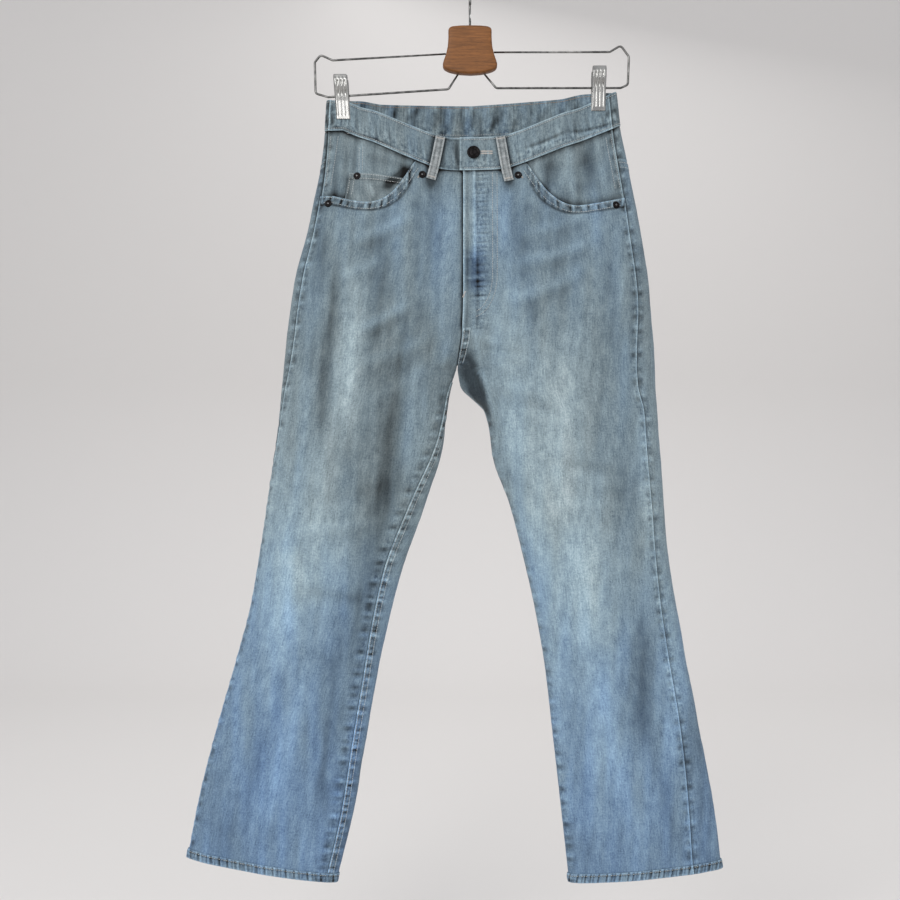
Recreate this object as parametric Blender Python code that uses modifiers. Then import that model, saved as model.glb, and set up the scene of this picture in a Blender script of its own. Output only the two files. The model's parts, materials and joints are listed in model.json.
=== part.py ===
"""Light-wash bootcut jeans, held by the waistband in the two clips of a wire trouser hanger.

The front faces -Y, +X is the right side of the front view and +Z is up.  The origin is the
inner top of the hanger's crook, where a rod or a wall hook carries it.  Sizes and places are
in millimetres and MM turns them into metres as each mesh is made.

Each half of the jeans is one smooth surface, worked out from a table of levels.  A place on
it is (s, v): v runs from 0 at the hem to V_TOP at the waistband's upper edge, and s runs round
the cloth, 0 at the inner fold or centre front, 1 at the outer fold, 2 at the centre back.
"""
import math

import bmesh
import bpy
import numpy as np
from mathutils import Vector

MM = 0.001
COLLECTION = "bootcut_jeans_on_hanger"

# Cloth and seams
DENIM = 1.2
BAND_WALL = 2.4
BAND_OUT = 1.0
SEAM_GAP = 0.3
LAY_GAP = 0.45
FELL_WIDTH = 10.0
HEM_HEIGHT = 12.0
HEM_WALL = 1.5

# Levels up the cloth
V_CROTCH = 655.0
V_MAPPED = 866.0
V_WAIST = 976.0
V_TOP = 1017.0
CROTCH_CURVE = 95.0
CENTRE_REACH = 0.22
TRUNK_FROM = 540.0
TRUNK_TO = 850.0
SPREAD_FROM = 600.0
SPREAD_TO = 760.0
DROOP_FROM = 700.0
DROOP_TO = 930.0
RAMP_ROUND = 0.12

# How high the outer fold lies at each level, and which part of the front's width the outseam
# is in from it
SIDE_COLUMNS = ("v", "x_out", "z_out", "outseam")
LEFT_SIDE = (
    (0, -372.1, -1137.5, 0.03),
    (93, -353.7, -1046.7, 0.03),
    (177, -332.7, -965.2, 0.03),
    (267, -307.7, -878.4, 0.03),
    (342, -288.6, -806.1, 0.03),
    (415, -276.1, -733.8, 0.03),
    (495, -264.3, -654.9, 0.04),
    (575, -253.1, -576.0, 0.07),
    (625, -247.9, -526.0, 0.10),
    (655, -245.2, -499.7, 0.13),
    (715, -238.7, -440.5, 0.18),
    (777, -230.1, -378.7, 0.20),
    (830, -217.0, -326.1, 0.20),
    (884, -205.1, -273.5, 0.19),
    (933, -195.9, -227.5, 0.16),
    (976, -190.7, -183.4, 0.14),
    (1017, -188.0, -142.7, 0.13),
)
RIGHT_SIDE = (
    (0, 331.4, -1151.9, 0.295),
    (109, 316.9, -1044.1, 0.27),
    (202, 299.8, -952.1, 0.245),
    (286, 282.7, -870.5, 0.235),
    (354, 270.2, -803.5, 0.225),
    (415, 261.7, -743.0, 0.21),
    (484, 255.1, -674.6, 0.195),
    (550, 249.8, -608.8, 0.19),
    (583, 247.2, -576.0, 0.187),
    (607, 246.2, -552.3, 0.19),
    (638, 243.9, -520.7, 0.21),
    (655, 243.0, -499.7, 0.22),
    (715, 239.3, -440.5, 0.24),
    (777, 234.1, -378.7, 0.24),
    (830, 226.2, -326.1, 0.24),
    (884, 217.0, -273.5, 0.23),
    (933, 207.1, -224.9, 0.22),
    (976, 197.2, -176.9, 0.20),
    (1017, 192.0, -131.5, 0.19),
)

# The legs up to the crotch: the inner fold, how far it stands back, how far front and back
# stand out, and the inseam's part of the width, below zero where it lies on the back
LEG_COLUMNS = ("v", "x_in", "z_in", "y_in", "front", "back", "inseam")
LEFT_LEG = (
    (0, -174.9, -1170.3, 0, 19, 21, 0.175),
    (93, -152.5, -1078.3, 0, 20, 22, 0.18),
    (177, -138.1, -994.1, 0, 22, 24, 0.19),
    (267, -123.0, -908.7, 0, 25, 27, 0.20),
    (342, -107.8, -831.1, 0, 29, 29, 0.215),
    (415, -89.4, -760.1, 0, 31, 30, 0.225),
    (495, -60.5, -677.2, 1, 33, 34, 0.20),
    (575, -34.8, -591.8, 3, 36, 39, 0.13),
    (625, -27.6, -531.3, 6, 37, 41, 0.06),
    (655, -17.2, -495.0, 8, 38, 42, 0.0),
)
RIGHT_LEG = (
    (0, 130.2, -1170.3, 0, 19, 21, -0.04),
    (109, 118.3, -1062.5, 0, 20, 22, -0.04),
    (202, 107.8, -967.8, 0, 22, 24, -0.04),
    (286, 98.0, -883.7, 0, 25, 27, -0.04),
    (354, 85.5, -812.7, 0, 29, 29, -0.04),
    (415, 71.0, -746.9, 2, 31, 30, -0.04),
    (484, 52.6, -674.6, 5, 33, 34, -0.04),
    (550, 29.6, -608.8, 10, 36, 38, -0.04),
    (583, 25.6, -576.0, 13, 36, 39, -0.035),
    (607, 19.0, -551.0, 15, 37, 40, -0.03),
    (622, 4.3, -535.8, 15, 37, 41, -0.02),
    (638, -12.8, -518.1, 12, 38, 42, -0.01),
    (655, -17.2, -495.0, 8, 38, 42, 0.0),
)

# The trunk, which both halves share: the centre front and the centre back
TRUNK_COLUMNS = ("v", "x_front", "z_front", "x_back", "z_back", "y_in", "front", "back")
TRUNK = (
    (655, -17.2, -495.0, -17.2, -495.0, 8, 38, 42),
    (715, -10.8, -445.0, -5.8, -436.0, 0, 38, 44),
    (777, -9.5, -396.6, -1.8, -372.0, 0, 37, 44),
    (830, -9.5, -355.0, -0.2, -318.0, 0, 36, 42),
    (884, -9.5, -313.0, 0.5, -266.0, 0, 34, 38),
    (933, -9.5, -274.6, 1.0, -223.0, 0, 31, 33),
    (976, -9.5, -241.0, 1.0, -184.5, 0, 27, 27),
    (1017, -9.5, -197.0, 1.0, -144.0, 0, 22, 22),
)

# The clips press front and back together: how firmly at each level, and over which part of s
PINCH_LEVELS = (860.0, 900.0, 940.0, 976.0, 990.0, 1017.0)
PINCH_FIRMNESS = (0.0, 0.05, 0.2, 0.55, 1.0, 1.0)
PINCH_S = (0.42, 0.57, 0.80, 0.89)
PINCH_HALF = 1.8

# The largest folds of the hung cloth: s and v of the lower end, s and v of the upper end, the
# half width as a part of s, and the height, which is below zero for a trough
FOLD_COLUMNS = ("s_low", "v_low", "s_high", "v_high", "width", "height")
LEFT_FOLDS = (
    (0.67, 520.0, 0.60, 850.0, 0.050, -2.6),
    (0.55, 480.0, 0.46, 840.0, 0.060, 2.6),
    (0.42, 420.0, 0.30, 800.0, 0.060, -2.2),
    (0.36, 60.0, 0.48, 330.0, 0.070, 2.2),
    (0.62, 40.0, 0.64, 300.0, 0.060, -2.0),
    (1.40, 120.0, 1.46, 560.0, 0.070, 2.4),
    (1.58, 300.0, 1.66, 690.0, 0.070, -2.4),
)
RIGHT_FOLDS = (
    (0.47, 330.0, 0.46, 820.0, 0.080, 2.6),
    (0.62, 480.0, 0.56, 780.0, 0.055, -2.2),
    (0.30, 380.0, 0.26, 700.0, 0.055, -2.2),
    (0.50, 40.0, 0.44, 300.0, 0.080, 2.2),
    (0.30, 70.0, 0.27, 260.0, 0.055, -1.8),
    (1.42, 100.0, 1.48, 540.0, 0.070, 2.4),
    (1.60, 320.0, 1.68, 700.0, 0.070, -2.4),
)

# Rows and columns of the walls
PANEL_ROWS = (0.4, 12.0, 55.0, 105.0, 155.0, 205.0, 255.0, 300.0, 345.0, 390.0, 435.0, 480.0,
              525.0, 568.0, 594.0, 611.0, 625.0, 640.0, 655.0, 661.0, 675.0, 698.0, 726.0, 755.0, 797.0,
              835.0)
FRONT_ACROSS = (0.0, 0.07, 0.15, 0.215, 0.25, 0.29, 0.35, 0.44, 0.55, 0.66, 0.77, 0.88, 0.95, 1.0)
BACK_ACROSS = (0.0, 0.06, 0.14, 0.24, 0.34, 0.44, 0.54, 0.64, 0.74, 0.84, 0.93, 1.0)
TOP_STEPS = 4

# The curved front pockets: where the mouth leaves the waistband, its level at the outseam and
# the roundness of its curve
MOUTH_START = {"left": 0.212, "right": 0.250}
MOUTH_LEVEL = {"left": 887.0, "right": 888.0}
MOUTH_ROUND = 1.25
MOUTH_DROP = 8.5
FACING_TUCK = 20.0
FACING_DEPTH = {"left": 2.9, "right": 1.6}
FACING_WALL = 0.9
POCKET_WALL = 1.0

# The yoke seam's levels at the outseam and at the centre back
YOKE_SIDE = 938.0
YOKE_CENTRE = 905.0

# Back pockets, seen from the back
POCKET_X = {"left": -101.0, "right": 103.0}
POCKET_TOP_Z = -283.0
POCKET_TOP_WIDTH = 150.0
POCKET_LOW_WIDTH = 132.0
POCKET_SIDE_HEIGHT = 138.0
POCKET_HEIGHT = 158.0

# The fly: x of its free edge and of its row of stitches, and its levels
FLY_WIDTH = 43.0
FLY_LOW_Z = -425.0
FLY_CURVE_Z = -385.0
FLY_HIGH_Z = -243.0
FLAP_X = -13.8
UNDERLAP_X = 24.0

# Belt loops on the front: x at the top and at the foot
LOOP_WIDTH = 12.4
LOOP_WALL = 1.7
LOOP_TOP_V = 1015.5
LOOP_FOOT_V = 955.0
LOOP_STATIONS = (0.0, 0.07, 0.2, 0.45, 0.62, 0.74, 0.88, 1.0)
LOOP_STAND = (1.4, 1.9, 3.0, 3.2, 2.6, 1.5, 0.6, 0.45)

# Metal
BUTTON_DIAMETER = 17.0
BUTTON_PLACE = (4.2, -217.5)
RIVET_DIAMETER = 9.6
RIVET_HEIGHT = 1.4

# Hanger
WIRE = 3.0
HOOK_INNER_RADIUS = 15.0
BLOCK_TOP_Z = -44.7
BLOCK_THICKNESS = 15.0
CLIP_WIDTH = 18.6
CLIP_HEIGHT = 58.0
JAW_WALL = 1.1


def table(columns, rows):
    """Return one array for each named column of a table."""
    values = np.array(rows, dtype=float)
    return {name: values[:, index] for index, name in enumerate(columns)}


def through(levels, values, at):
    """Smooth curve through a column that never overshoots its neighbouring levels."""
    levels = np.asarray(levels, dtype=float)
    values = np.asarray(values, dtype=float)
    width = np.diff(levels)
    slope = np.diff(values) / width
    tangent = np.empty_like(values)
    tangent[0] = slope[0]
    tangent[-1] = slope[-1]
    before = slope[:-1]
    after = slope[1:]
    same = before * after > 0
    total = np.where(same, before + after, 1.0)
    tangent[1:-1] = np.where(same, 2.0 * before * after / total, 0.0)
    at = np.asarray(at, dtype=float)
    index = np.clip(np.searchsorted(levels, at, side="right") - 1, 0, len(width) - 1)
    part = (at - levels[index]) / width[index]
    square = part * part
    cube = square * part
    return ((2 * cube - 3 * square + 1) * values[index]
            + (cube - 2 * square + part) * width[index] * tangent[index]
            + (3 * square - 2 * cube) * values[index + 1]
            + (cube - square) * width[index] * tangent[index + 1])


def ease(value, start, end):
    """Rise smoothly from 0 at start to 1 at end."""
    part = np.clip((np.asarray(value, dtype=float) - start) / (end - start), 0.0, 1.0)
    return part * part * (3.0 - 2.0 * part)


def unit(vectors):
    """Scale vectors to length one."""
    length = np.linalg.norm(vectors, axis=-1, keepdims=True)
    return vectors / np.maximum(length, 1e-9)


class Half:
    """One half of the jeans as a surface of (s, v)."""

    def __init__(self, name, sign, side, leg, folds, flat_to, full_at):
        self.name = name
        self.sign = sign
        self.side = table(SIDE_COLUMNS, side)
        self.leg = table(LEG_COLUMNS, leg)
        self.trunk = table(TRUNK_COLUMNS, TRUNK)
        self.folds = [dict(zip(FOLD_COLUMNS, row)) for row in folds]
        self.flat_to = flat_to
        self.full_at = full_at

    def along_side(self, name, v):
        """Read a column of the outer fold's table."""
        return through(self.side["v"], self.side[name], v)

    def inside(self, on_leg, on_trunk, v):
        """Read a column of the leg's table up to the crotch, and one of the trunk's above it."""
        v = np.asarray(v, dtype=float)
        leg = through(self.leg["v"], self.leg[on_leg], np.minimum(v, V_CROTCH))
        trunk = through(self.trunk["v"], self.trunk[on_trunk], np.maximum(v, V_CROTCH))
        return np.where(v > V_CROTCH, trunk, leg)

    def outseam(self, v):
        """Where the outseam lies, as s."""
        return 1.0 - self.along_side("outseam", v)

    def inseam(self, v):
        """Where the inseam lies, as s, or 0 on the trunk, where the centre front takes over."""
        v = np.asarray(v, dtype=float)
        return through(self.leg["v"], self.leg["inseam"], np.minimum(v, V_CROTCH))

    def point(self, s, v):
        """Place on the outer face of the cloth.

        The section of a leg is a lens, widest in its middle, and that of the trunk is half an
        oval, widest at the centre.  Above the crotch one turns into the other.
        """
        s, v = np.broadcast_arrays(np.asarray(s, dtype=float), np.asarray(v, dtype=float))
        at_back = (s < 0.0) | ((s > 1.0) & (s <= 2.0))
        t = np.where(s < 0.0, -s, np.where(s <= 1.0, s, np.abs(2.0 - s)))
        spread = ease(v, SPREAD_FROM, SPREAD_TO)
        across = (1.0 - spread) * (1.0 - np.cos(math.pi * t)) / 2.0
        across = across + spread * np.sin(math.pi * t / 2.0)
        rise = np.clip((v - V_CROTCH) / CROTCH_CURVE, 0.0, 1.0)
        near_centre = np.exp(-(across / CENTRE_REACH) ** 2)
        trunk = near_centre * np.sqrt(1.0 - (1.0 - rise) ** 2)
        trunk = trunk + (1.0 - near_centre) * ease(v, TRUNK_FROM, TRUNK_TO)
        lens = 2.0 * np.sqrt(np.clip(across * (1.0 - across), 0.0, None))
        oval = np.sqrt(np.clip(1.0 - across * across, 0.0, None))
        height = (1.0 - trunk) * lens + trunk * oval
        depth = np.where(at_back, self.inside("back", "back", v), self.inside("front", "front", v))
        depth = depth * height
        in_first = ease(t, PINCH_S[0], PINCH_S[1])
        out_last = 1.0 - ease(t, PINCH_S[2], PINCH_S[3])
        pinch = in_first * out_last * through(PINCH_LEVELS, PINCH_FIRMNESS, np.maximum(v, 860.0))
        depth = depth * (1.0 - pinch) + PINCH_HALF * pinch
        for fold in self.folds:
            part = np.clip((v - fold["v_low"]) / (fold["v_high"] - fold["v_low"]), 0.0, 1.0)
            middle = fold["s_low"] + part * (fold["s_high"] - fold["s_low"])
            across_fold = (s - middle) / fold["width"]
            depth = depth + fold["height"] * np.exp(-across_fold ** 2) * np.sin(math.pi * part) ** 2
        x_in = np.where(at_back, self.inside("x_in", "x_back", v), self.inside("x_in", "x_front", v))
        x_in = x_in + self.sign * SEAM_GAP / 2
        z_in = np.where(at_back, self.inside("z_in", "z_back", v), self.inside("z_in", "z_front", v))
        x = x_in + (self.along_side("x_out", v) - x_in) * across
        droop = ease(v, DROOP_FROM, DROOP_TO)
        ramp = (across - self.flat_to) / (self.full_at - self.flat_to)
        steep = np.clip((ramp + np.sqrt(ramp * ramp + RAMP_ROUND ** 2)) / 2.0, 0.0, 1.0)
        lift = np.where(at_back, across, (1.0 - droop) * across + droop * steep)
        z = z_in + (self.along_side("z_out", v) - z_in) * lift
        y = self.inside("y_in", "y_in", v) * (1.0 - across) + np.where(at_back, depth, -depth)
        return np.stack([x, y, z], axis=-1)

    def normal(self, s, v):
        """Outward direction at (s, v), from two short steps over the surface."""
        s, v = np.broadcast_arrays(np.asarray(s, dtype=float), np.asarray(v, dtype=float))
        on_trunk = v > V_CROTCH
        low_s = np.where(on_trunk, np.clip(s - 0.004, 0.0, 2.0), s - 0.004)
        high_s = np.where(on_trunk, np.clip(s + 0.004, 0.0, 2.0), s + 0.004)
        low_v = np.where(on_trunk, np.maximum(v - 1.0, V_CROTCH + 0.2), v - 1.0)
        high_v = np.where(on_trunk, v + 1.0, np.minimum(v + 1.0, V_CROTCH))
        along = self.point(high_s, v) - self.point(low_s, v)
        up = self.point(s, np.minimum(high_v, V_TOP)) - self.point(s, np.maximum(low_v, 0.0))
        return unit(np.cross(along, up)) * self.sign

    def at(self, s, v, out=0.0):
        """Place that stands out from the cloth by a distance."""
        return self.point(s, v) + np.asarray(out, dtype=float)[..., None] * self.normal(s, v)

    def step(self, s, v, distance):
        """The change in s that moves a distance round the cloth."""
        length = np.linalg.norm(self.point(s + 0.005, v) - self.point(s - 0.005, v), axis=-1)
        return distance * 0.01 / np.maximum(length, 1e-6)

    def locate(self, x, z, back=False):
        """Find (s, v) of a place given by its x and z as seen from the front."""
        turns = np.linspace(0.0, 1.0, 161)
        v = V_WAIST
        s = 0.5
        for _ in range(24):
            line = self.point(2.0 - turns if back else turns, v)
            s = float(np.interp(x * self.sign, line[:, 0] * self.sign, turns))
            height = float(np.interp(s, turns, line[:, 2]))
            v = min(max(v + (z - height), 0.0), V_TOP)
        return (2.0 - s if back else s), v


LEFT = Half("left", -1.0, LEFT_SIDE, LEFT_LEG, LEFT_FOLDS, 0.17, 0.87)
RIGHT = Half("right", 1.0, RIGHT_SIDE, RIGHT_LEG, RIGHT_FOLDS, 0.27, 1.0)
HALVES = (LEFT, RIGHT)


def make_material(name, colour, roughness, metallic=0.0):
    """A plain Principled material."""
    material = bpy.data.materials.new(name)
    material.use_nodes = True
    shader = material.node_tree.nodes["Principled BSDF"]
    shader.inputs["Base Color"].default_value = (*colour, 1.0)
    shader.inputs["Roughness"].default_value = roughness
    shader.inputs["Metallic"].default_value = metallic
    return material


def finish(obj, material, smooth=True):
    """Give an object its material and put it in the part's collection."""
    obj.data.materials.append(material)
    if smooth and obj.type == "MESH":
        obj.data.shade_smooth()
    bpy.data.collections[COLLECTION].objects.link(obj)
    return obj


def wall(name, outer, inner, material, ring=False):
    """A cloth wall between two grids of points, which share their rows and columns.

    The rows of a ring close on themselves.  The faces are turned outwards at the end, so the
    grids may run either way round.
    """
    rows, columns = outer.shape[:2]
    count = rows * columns
    points = np.concatenate([outer.reshape(-1, 3), inner.reshape(-1, 3)]) * MM
    index = np.arange(count).reshape(rows, columns)
    after = np.roll(index, -1, axis=1)
    last = columns if ring else columns - 1
    corners = [index[:-1, :last], after[:-1, :last], after[1:, :last], index[1:, :last]]
    face = np.stack(corners, axis=-1).reshape(-1, 4)
    faces = [tuple(row) for row in face]
    faces += [tuple(row) for row in face[:, ::-1] + count]
    edges = [(index[0, i], index[0, (i + 1) % columns]) for i in range(last)]
    edges += [(index[-1, (i + 1) % columns], index[-1, i]) for i in range(last)]
    if not ring:
        edges += [(index[i + 1, 0], index[i, 0]) for i in range(rows - 1)]
        edges += [(index[i, -1], index[i + 1, -1]) for i in range(rows - 1)]
    faces += [(b, a, a + count, b + count) for a, b in edges]
    mesh = bpy.data.meshes.new(name)
    mesh.from_pydata([tuple(point) for point in points], [], [tuple(map(int, f)) for f in faces])
    builder = bmesh.new()
    builder.from_mesh(mesh)
    bmesh.ops.triangulate(builder, faces=builder.faces[:])
    bmesh.ops.recalc_face_normals(builder, faces=builder.faces[:])
    builder.to_mesh(mesh)
    builder.free()
    return finish(bpy.data.objects.new(name, mesh), material)


def laid(half, s, v, low, thickness):
    """Outer and inner points of cloth that lies on a panel, from low to low + thickness."""
    return half.at(s, v, np.full(np.shape(s), low + thickness)), half.at(s, v, np.full(np.shape(s), low))


def front_edges(half, v):
    """The s values of a front panel's inseam or centre edge and its outseam edge."""
    start = half.inseam(v)
    end = half.outseam(v)
    return start + half.step(start, v, SEAM_GAP / 2), end - half.step(end, v, SEAM_GAP / 2)


def back_edges(half, v):
    """The s values of a back panel's outseam edge and its inseam or centre edge."""
    start = half.outseam(v)
    end = 2.0 + half.inseam(v)
    return start + half.step(start, v, SEAM_GAP / 2), end - half.step(end, v, SEAM_GAP / 2)


def trunk_safe(s, v):
    """Keep s between the centre front and the centre back above the crotch."""
    return np.where(v > V_CROTCH, np.clip(s, 0.0, 2.0), s)


def mouth_level(half, s):
    """The level of the pocket mouth at s: a curve that falls from the waistband and flattens."""
    start = MOUTH_START[half.name]
    end = float(half.outseam(MOUTH_LEVEL[half.name]))
    part = np.clip((s - start) / (end - start), 0.0, 1.0)
    drop = (1.0 - part ** MOUTH_ROUND) ** MOUTH_DROP
    low = MOUTH_LEVEL[half.name]
    return low + (V_WAIST - SEAM_GAP / 2 - low) * drop


def yoke_level(across):
    """The level of the yoke seam, from the outseam to the centre back."""
    return YOKE_SIDE + (YOKE_CENTRE - YOKE_SIDE) * across


def grid_of(half, edges, across, levels):
    """Spread columns between a panel's edges at every row: returns grids of s and v."""
    start, end = edges(half, levels)
    s = start + (end - start) * across
    return trunk_safe(s, levels), levels


def panel_levels(across, top):
    """Rows of a panel: straight ones to V_MAPPED, then steps up to the curve of its top edge."""
    low = np.repeat(np.array(PANEL_ROWS)[:, None], len(across), axis=1)
    part = np.linspace(0.0, 1.0, TOP_STEPS + 1)[:, None]
    return np.concatenate([low, V_MAPPED + (top - V_MAPPED) * part])


def front_top(half, across):
    """The upper edge of a front panel: the waistband seam, then the pocket mouth."""
    start, end = front_edges(half, np.full(len(across), 930.0))
    return mouth_level(half, start + (end - start) * across)


def front_panel(half, material):
    """The front of one leg, from the hem to the waistband and the pocket mouth."""
    across = np.array(FRONT_ACROSS)
    s, v = grid_of(half, front_edges, across, panel_levels(across, front_top(half, across)))
    outer, inner = laid(half, s, v, -DENIM, DENIM)
    wall("front_panel_" + half.name, outer, inner, material)


def back_panel(half, material):
    """The back of one leg, from the hem to the yoke seam."""
    across = np.array(BACK_ACROSS)
    top = yoke_level(across) - SEAM_GAP / 2
    s, v = grid_of(half, back_edges, across, panel_levels(across, top))
    outer, inner = laid(half, s, v, -DENIM, DENIM)
    wall("back_panel_" + half.name, outer, inner, material)


def back_yoke(half, material):
    """The wedge between the back panel and the waistband."""
    across = np.array(BACK_ACROSS)
    low = yoke_level(across) + SEAM_GAP / 2
    part = np.linspace(0.0, 1.0, 4)[:, None]
    levels = low + (V_WAIST - SEAM_GAP / 2 - low) * part
    s, v = grid_of(half, back_edges, across, levels)
    outer, inner = laid(half, s, v, -DENIM, DENIM)
    wall("back_yoke_" + half.name, outer, inner, material)


def pocket_facing(half, material):
    """The denim that shows in the pocket mouth, set behind the front panel."""
    across = np.array([a for a in FRONT_ACROSS if a >= 0.25])
    high = np.full(len(across), V_WAIST - SEAM_GAP / 2)
    low = np.minimum(front_top(half, across) - FACING_TUCK, high - 40.0)
    levels = low + (high - low) * np.linspace(0.0, 1.0, 5)[:, None]
    s, v = grid_of(half, front_edges, across, levels)
    depth = FACING_DEPTH[half.name]
    outer, inner = laid(half, s, v, -depth - FACING_WALL, FACING_WALL)
    wall("pocket_facing_" + half.name, outer, inner, material)


def coin_pocket(material):
    """The small pocket on the facing of the left-hand pocket of the front view."""
    inner_top = LEFT.locate(-81.0, -251.0)
    outer_top = LEFT.locate(-158.0, -240.0)
    part = np.linspace(0.0, 1.0, 7)
    across = inner_top[0] + (outer_top[0] - inner_top[0]) * part
    high = inner_top[1] + (outer_top[1] - inner_top[1]) * part
    low = np.minimum(mouth_level(LEFT, across) - 10.0, high - 8.0)
    v = low + (high - low) * np.linspace(0.0, 1.0, 4)[:, None]
    s = np.repeat(across[None, :], 4, axis=0)
    depth = FACING_DEPTH["left"] - 0.3
    outer, inner = laid(LEFT, s, v, -depth, POCKET_WALL)
    wall("coin_pocket", outer, inner, material)


def back_pocket(half, material):
    """A plain patch pocket with a pointed foot, on the back panel."""
    rows = []
    for part in np.linspace(0.0, 1.0, 8):
        row = []
        for side in np.linspace(-1.0, 1.0, 9):
            foot = POCKET_SIDE_HEIGHT + (POCKET_HEIGHT - POCKET_SIDE_HEIGHT) * (1.0 - abs(side))
            width = POCKET_TOP_WIDTH + (POCKET_LOW_WIDTH - POCKET_TOP_WIDTH) * part
            x = POCKET_X[half.name] + side * width / 2
            row.append(half.locate(x, POCKET_TOP_Z - foot * part, back=True))
        rows.append(row)
    place = np.array(rows)
    outer, inner = laid(half, place[..., 0], place[..., 1], LAY_GAP, POCKET_WALL)
    wall("back_pocket_" + half.name, outer, inner, material)


def fly_piece(name, low, thickness, reach, left_x, material):
    """A layer of the fly behind the front, with the curved foot of its stitching."""
    heights = np.array([FLY_HIGH_Z, -290.0, -340.0, FLY_CURVE_Z, -402.0, -415.0, FLY_LOW_Z])
    curve = np.clip((FLY_CURVE_Z - heights) / (FLY_CURVE_Z - FLY_LOW_Z), 0.0, 1.0)
    widths = reach * np.sqrt(np.clip(1.0 - curve ** 2, 0.06, 1.0))
    outer_rows = []
    inner_rows = []
    for height, width in zip(heights, widths):
        outer_row = []
        inner_row = []
        for part in (0.0, 0.25, 0.5, 0.75, 1.0):
            x = left_x + width * part
            half = LEFT if x < -9.5 else RIGHT
            s, v = half.locate(x, height)
            outer, inner = laid(half, np.array([s]), np.array([min(v, V_WAIST - 0.3)]),
                                low, thickness)
            outer_row.append(outer[0])
            inner_row.append(inner[0])
        outer_rows.append(outer_row)
        inner_rows.append(inner_row)
    wall(name, np.array(outer_rows), np.array(inner_rows), material)


def hem(half, material):
    """The turned-up hem, a ring that lies outside the foot of the leg."""
    start, end = front_edges(half, np.array([0.0]))
    front = start + (end - start) * np.array(FRONT_ACROSS)
    start, end = back_edges(half, np.array([0.0]))
    back = start + (end - start) * np.array(BACK_ACROSS)
    across = np.concatenate([front, back])
    v = np.repeat(np.array([0.4, HEM_HEIGHT])[:, None], len(across), axis=1)
    s = np.repeat(across[None, :], 2, axis=0)
    outer, inner = laid(half, s, v, LAY_GAP, HEM_WALL)
    wall("hem_" + half.name, outer, inner, material, ring=True)


def inseam_fell(half, material):
    """The felled inseam, a flat band on the back panel's inner edge."""
    v = np.array([row for row in PANEL_ROWS if 12.0 < row <= 640.0])
    edge = 2.0 + half.inseam(v)
    first = edge - half.step(edge, v, FELL_WIDTH)
    levels = np.repeat(v[:, None], 3, axis=1)
    s = first[:, None] + (edge - first)[:, None] * np.array([0.0, 0.5, 1.0])
    outer, inner = laid(half, s, levels, LAY_GAP, 0.7)
    wall("inseam_fell_" + half.name, outer, inner, material)


def rise_fell(name, half, levels, back, material):
    """The felled seam at the centre, a flat band along one half's centre edge."""
    v = np.array(levels)
    if back:
        edge = np.full(len(v), 2.0)
        first = edge - half.step(np.full(len(v), 1.99), v, FELL_WIDTH)
    else:
        edge = np.full(len(v), 0.0)
        first = half.step(np.full(len(v), 0.01), v, FELL_WIDTH)
    start = edge + np.where(first > edge, 1.0, -1.0) * 0.004
    s = start[:, None] + (first - start)[:, None] * np.array([0.0, 0.5, 1.0])
    outer, inner = laid(half, s, np.repeat(v[:, None], 3, axis=1), LAY_GAP, 0.7)
    wall(name, outer, inner, material)


def band_turn(half):
    """The waistband's columns round one half: the panels' own, and the edges of the pinch."""
    level = np.array([V_WAIST])
    front_start, front_end = front_edges(half, level)
    back_start, back_end = back_edges(half, level)
    front = front_start + (front_end - front_start) * np.array(FRONT_ACROSS)
    back = back_start + (back_end - back_start) * np.array(BACK_ACROSS)
    pinched = (PINCH_S[1], PINCH_S[2], 2.0 - PINCH_S[2], 2.0 - PINCH_S[1])
    turn = np.sort(np.concatenate([front[1:], back, pinched]))
    keep = np.concatenate([[True], np.diff(turn) > 0.012])
    return turn[keep]


def waistband(material):
    """The waistband: one strip from its buttonhole end round the back to its underlapped end."""
    flap_s, _ = LEFT.locate(FLAP_X, -218.0)
    under_s, _ = RIGHT.locate(UNDERLAP_X, -218.0)
    stations = [(LEFT, flap_s, 0.0), (LEFT, flap_s * 0.4, 0.0)]
    stations += [(RIGHT, s, 0.0) for s in band_turn(RIGHT)]
    stations += [(LEFT, s, 0.0) for s in band_turn(LEFT)[::-1] if s > flap_s + 0.08]
    down = BAND_WALL + 0.5
    stations += [(LEFT, band_turn(LEFT)[0], 0.35 * down)]
    stations += [(LEFT, flap_s + 0.012, down), (LEFT, flap_s * 0.4, down)]
    stations += [(RIGHT, under_s * part, down) for part in (0.15, 0.6, 1.0)]
    levels = (V_WAIST + SEAM_GAP / 2, 990.0, 1003.0, V_TOP)
    outer = np.zeros((len(levels), len(stations), 3))
    inner = np.zeros_like(outer)
    for column, (half, s, lowered) in enumerate(stations):
        for row, v in enumerate(levels):
            outer[row, column] = half.at(s, v, BAND_OUT - lowered)
            inner[row, column] = half.at(s, v, BAND_OUT - lowered - BAND_WALL)
    wall("waistband", outer, inner, material)


def belt_loop(name, half, top_x, foot_x, back, material):
    """A belt loop: a strap sewn to the waistband's top and to the cloth below its seam."""
    side = -1.0 if back else 1.0
    top_s, _ = half.locate(top_x, -160.0 if back else -200.0, back)
    foot_s, _ = half.locate(foot_x, -205.0 if back else -262.0, back)
    part = np.array(LOOP_STATIONS)
    v = LOOP_TOP_V + (LOOP_FOOT_V - LOOP_TOP_V) * part
    middle = top_s + (foot_s - top_s) * part
    reach = half.step(middle, v, LOOP_WIDTH / 2) * side
    s = np.stack([middle - reach, middle, middle + reach], axis=1)
    s = np.clip(s, 0.0, 2.0)
    levels = np.repeat(v[:, None], 3, axis=1)
    stand = np.repeat(np.array(LOOP_STAND)[:, None], 3, axis=1)
    wall(name, half.at(s, levels, stand + LOOP_WALL), half.at(s, levels, stand), material)


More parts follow.
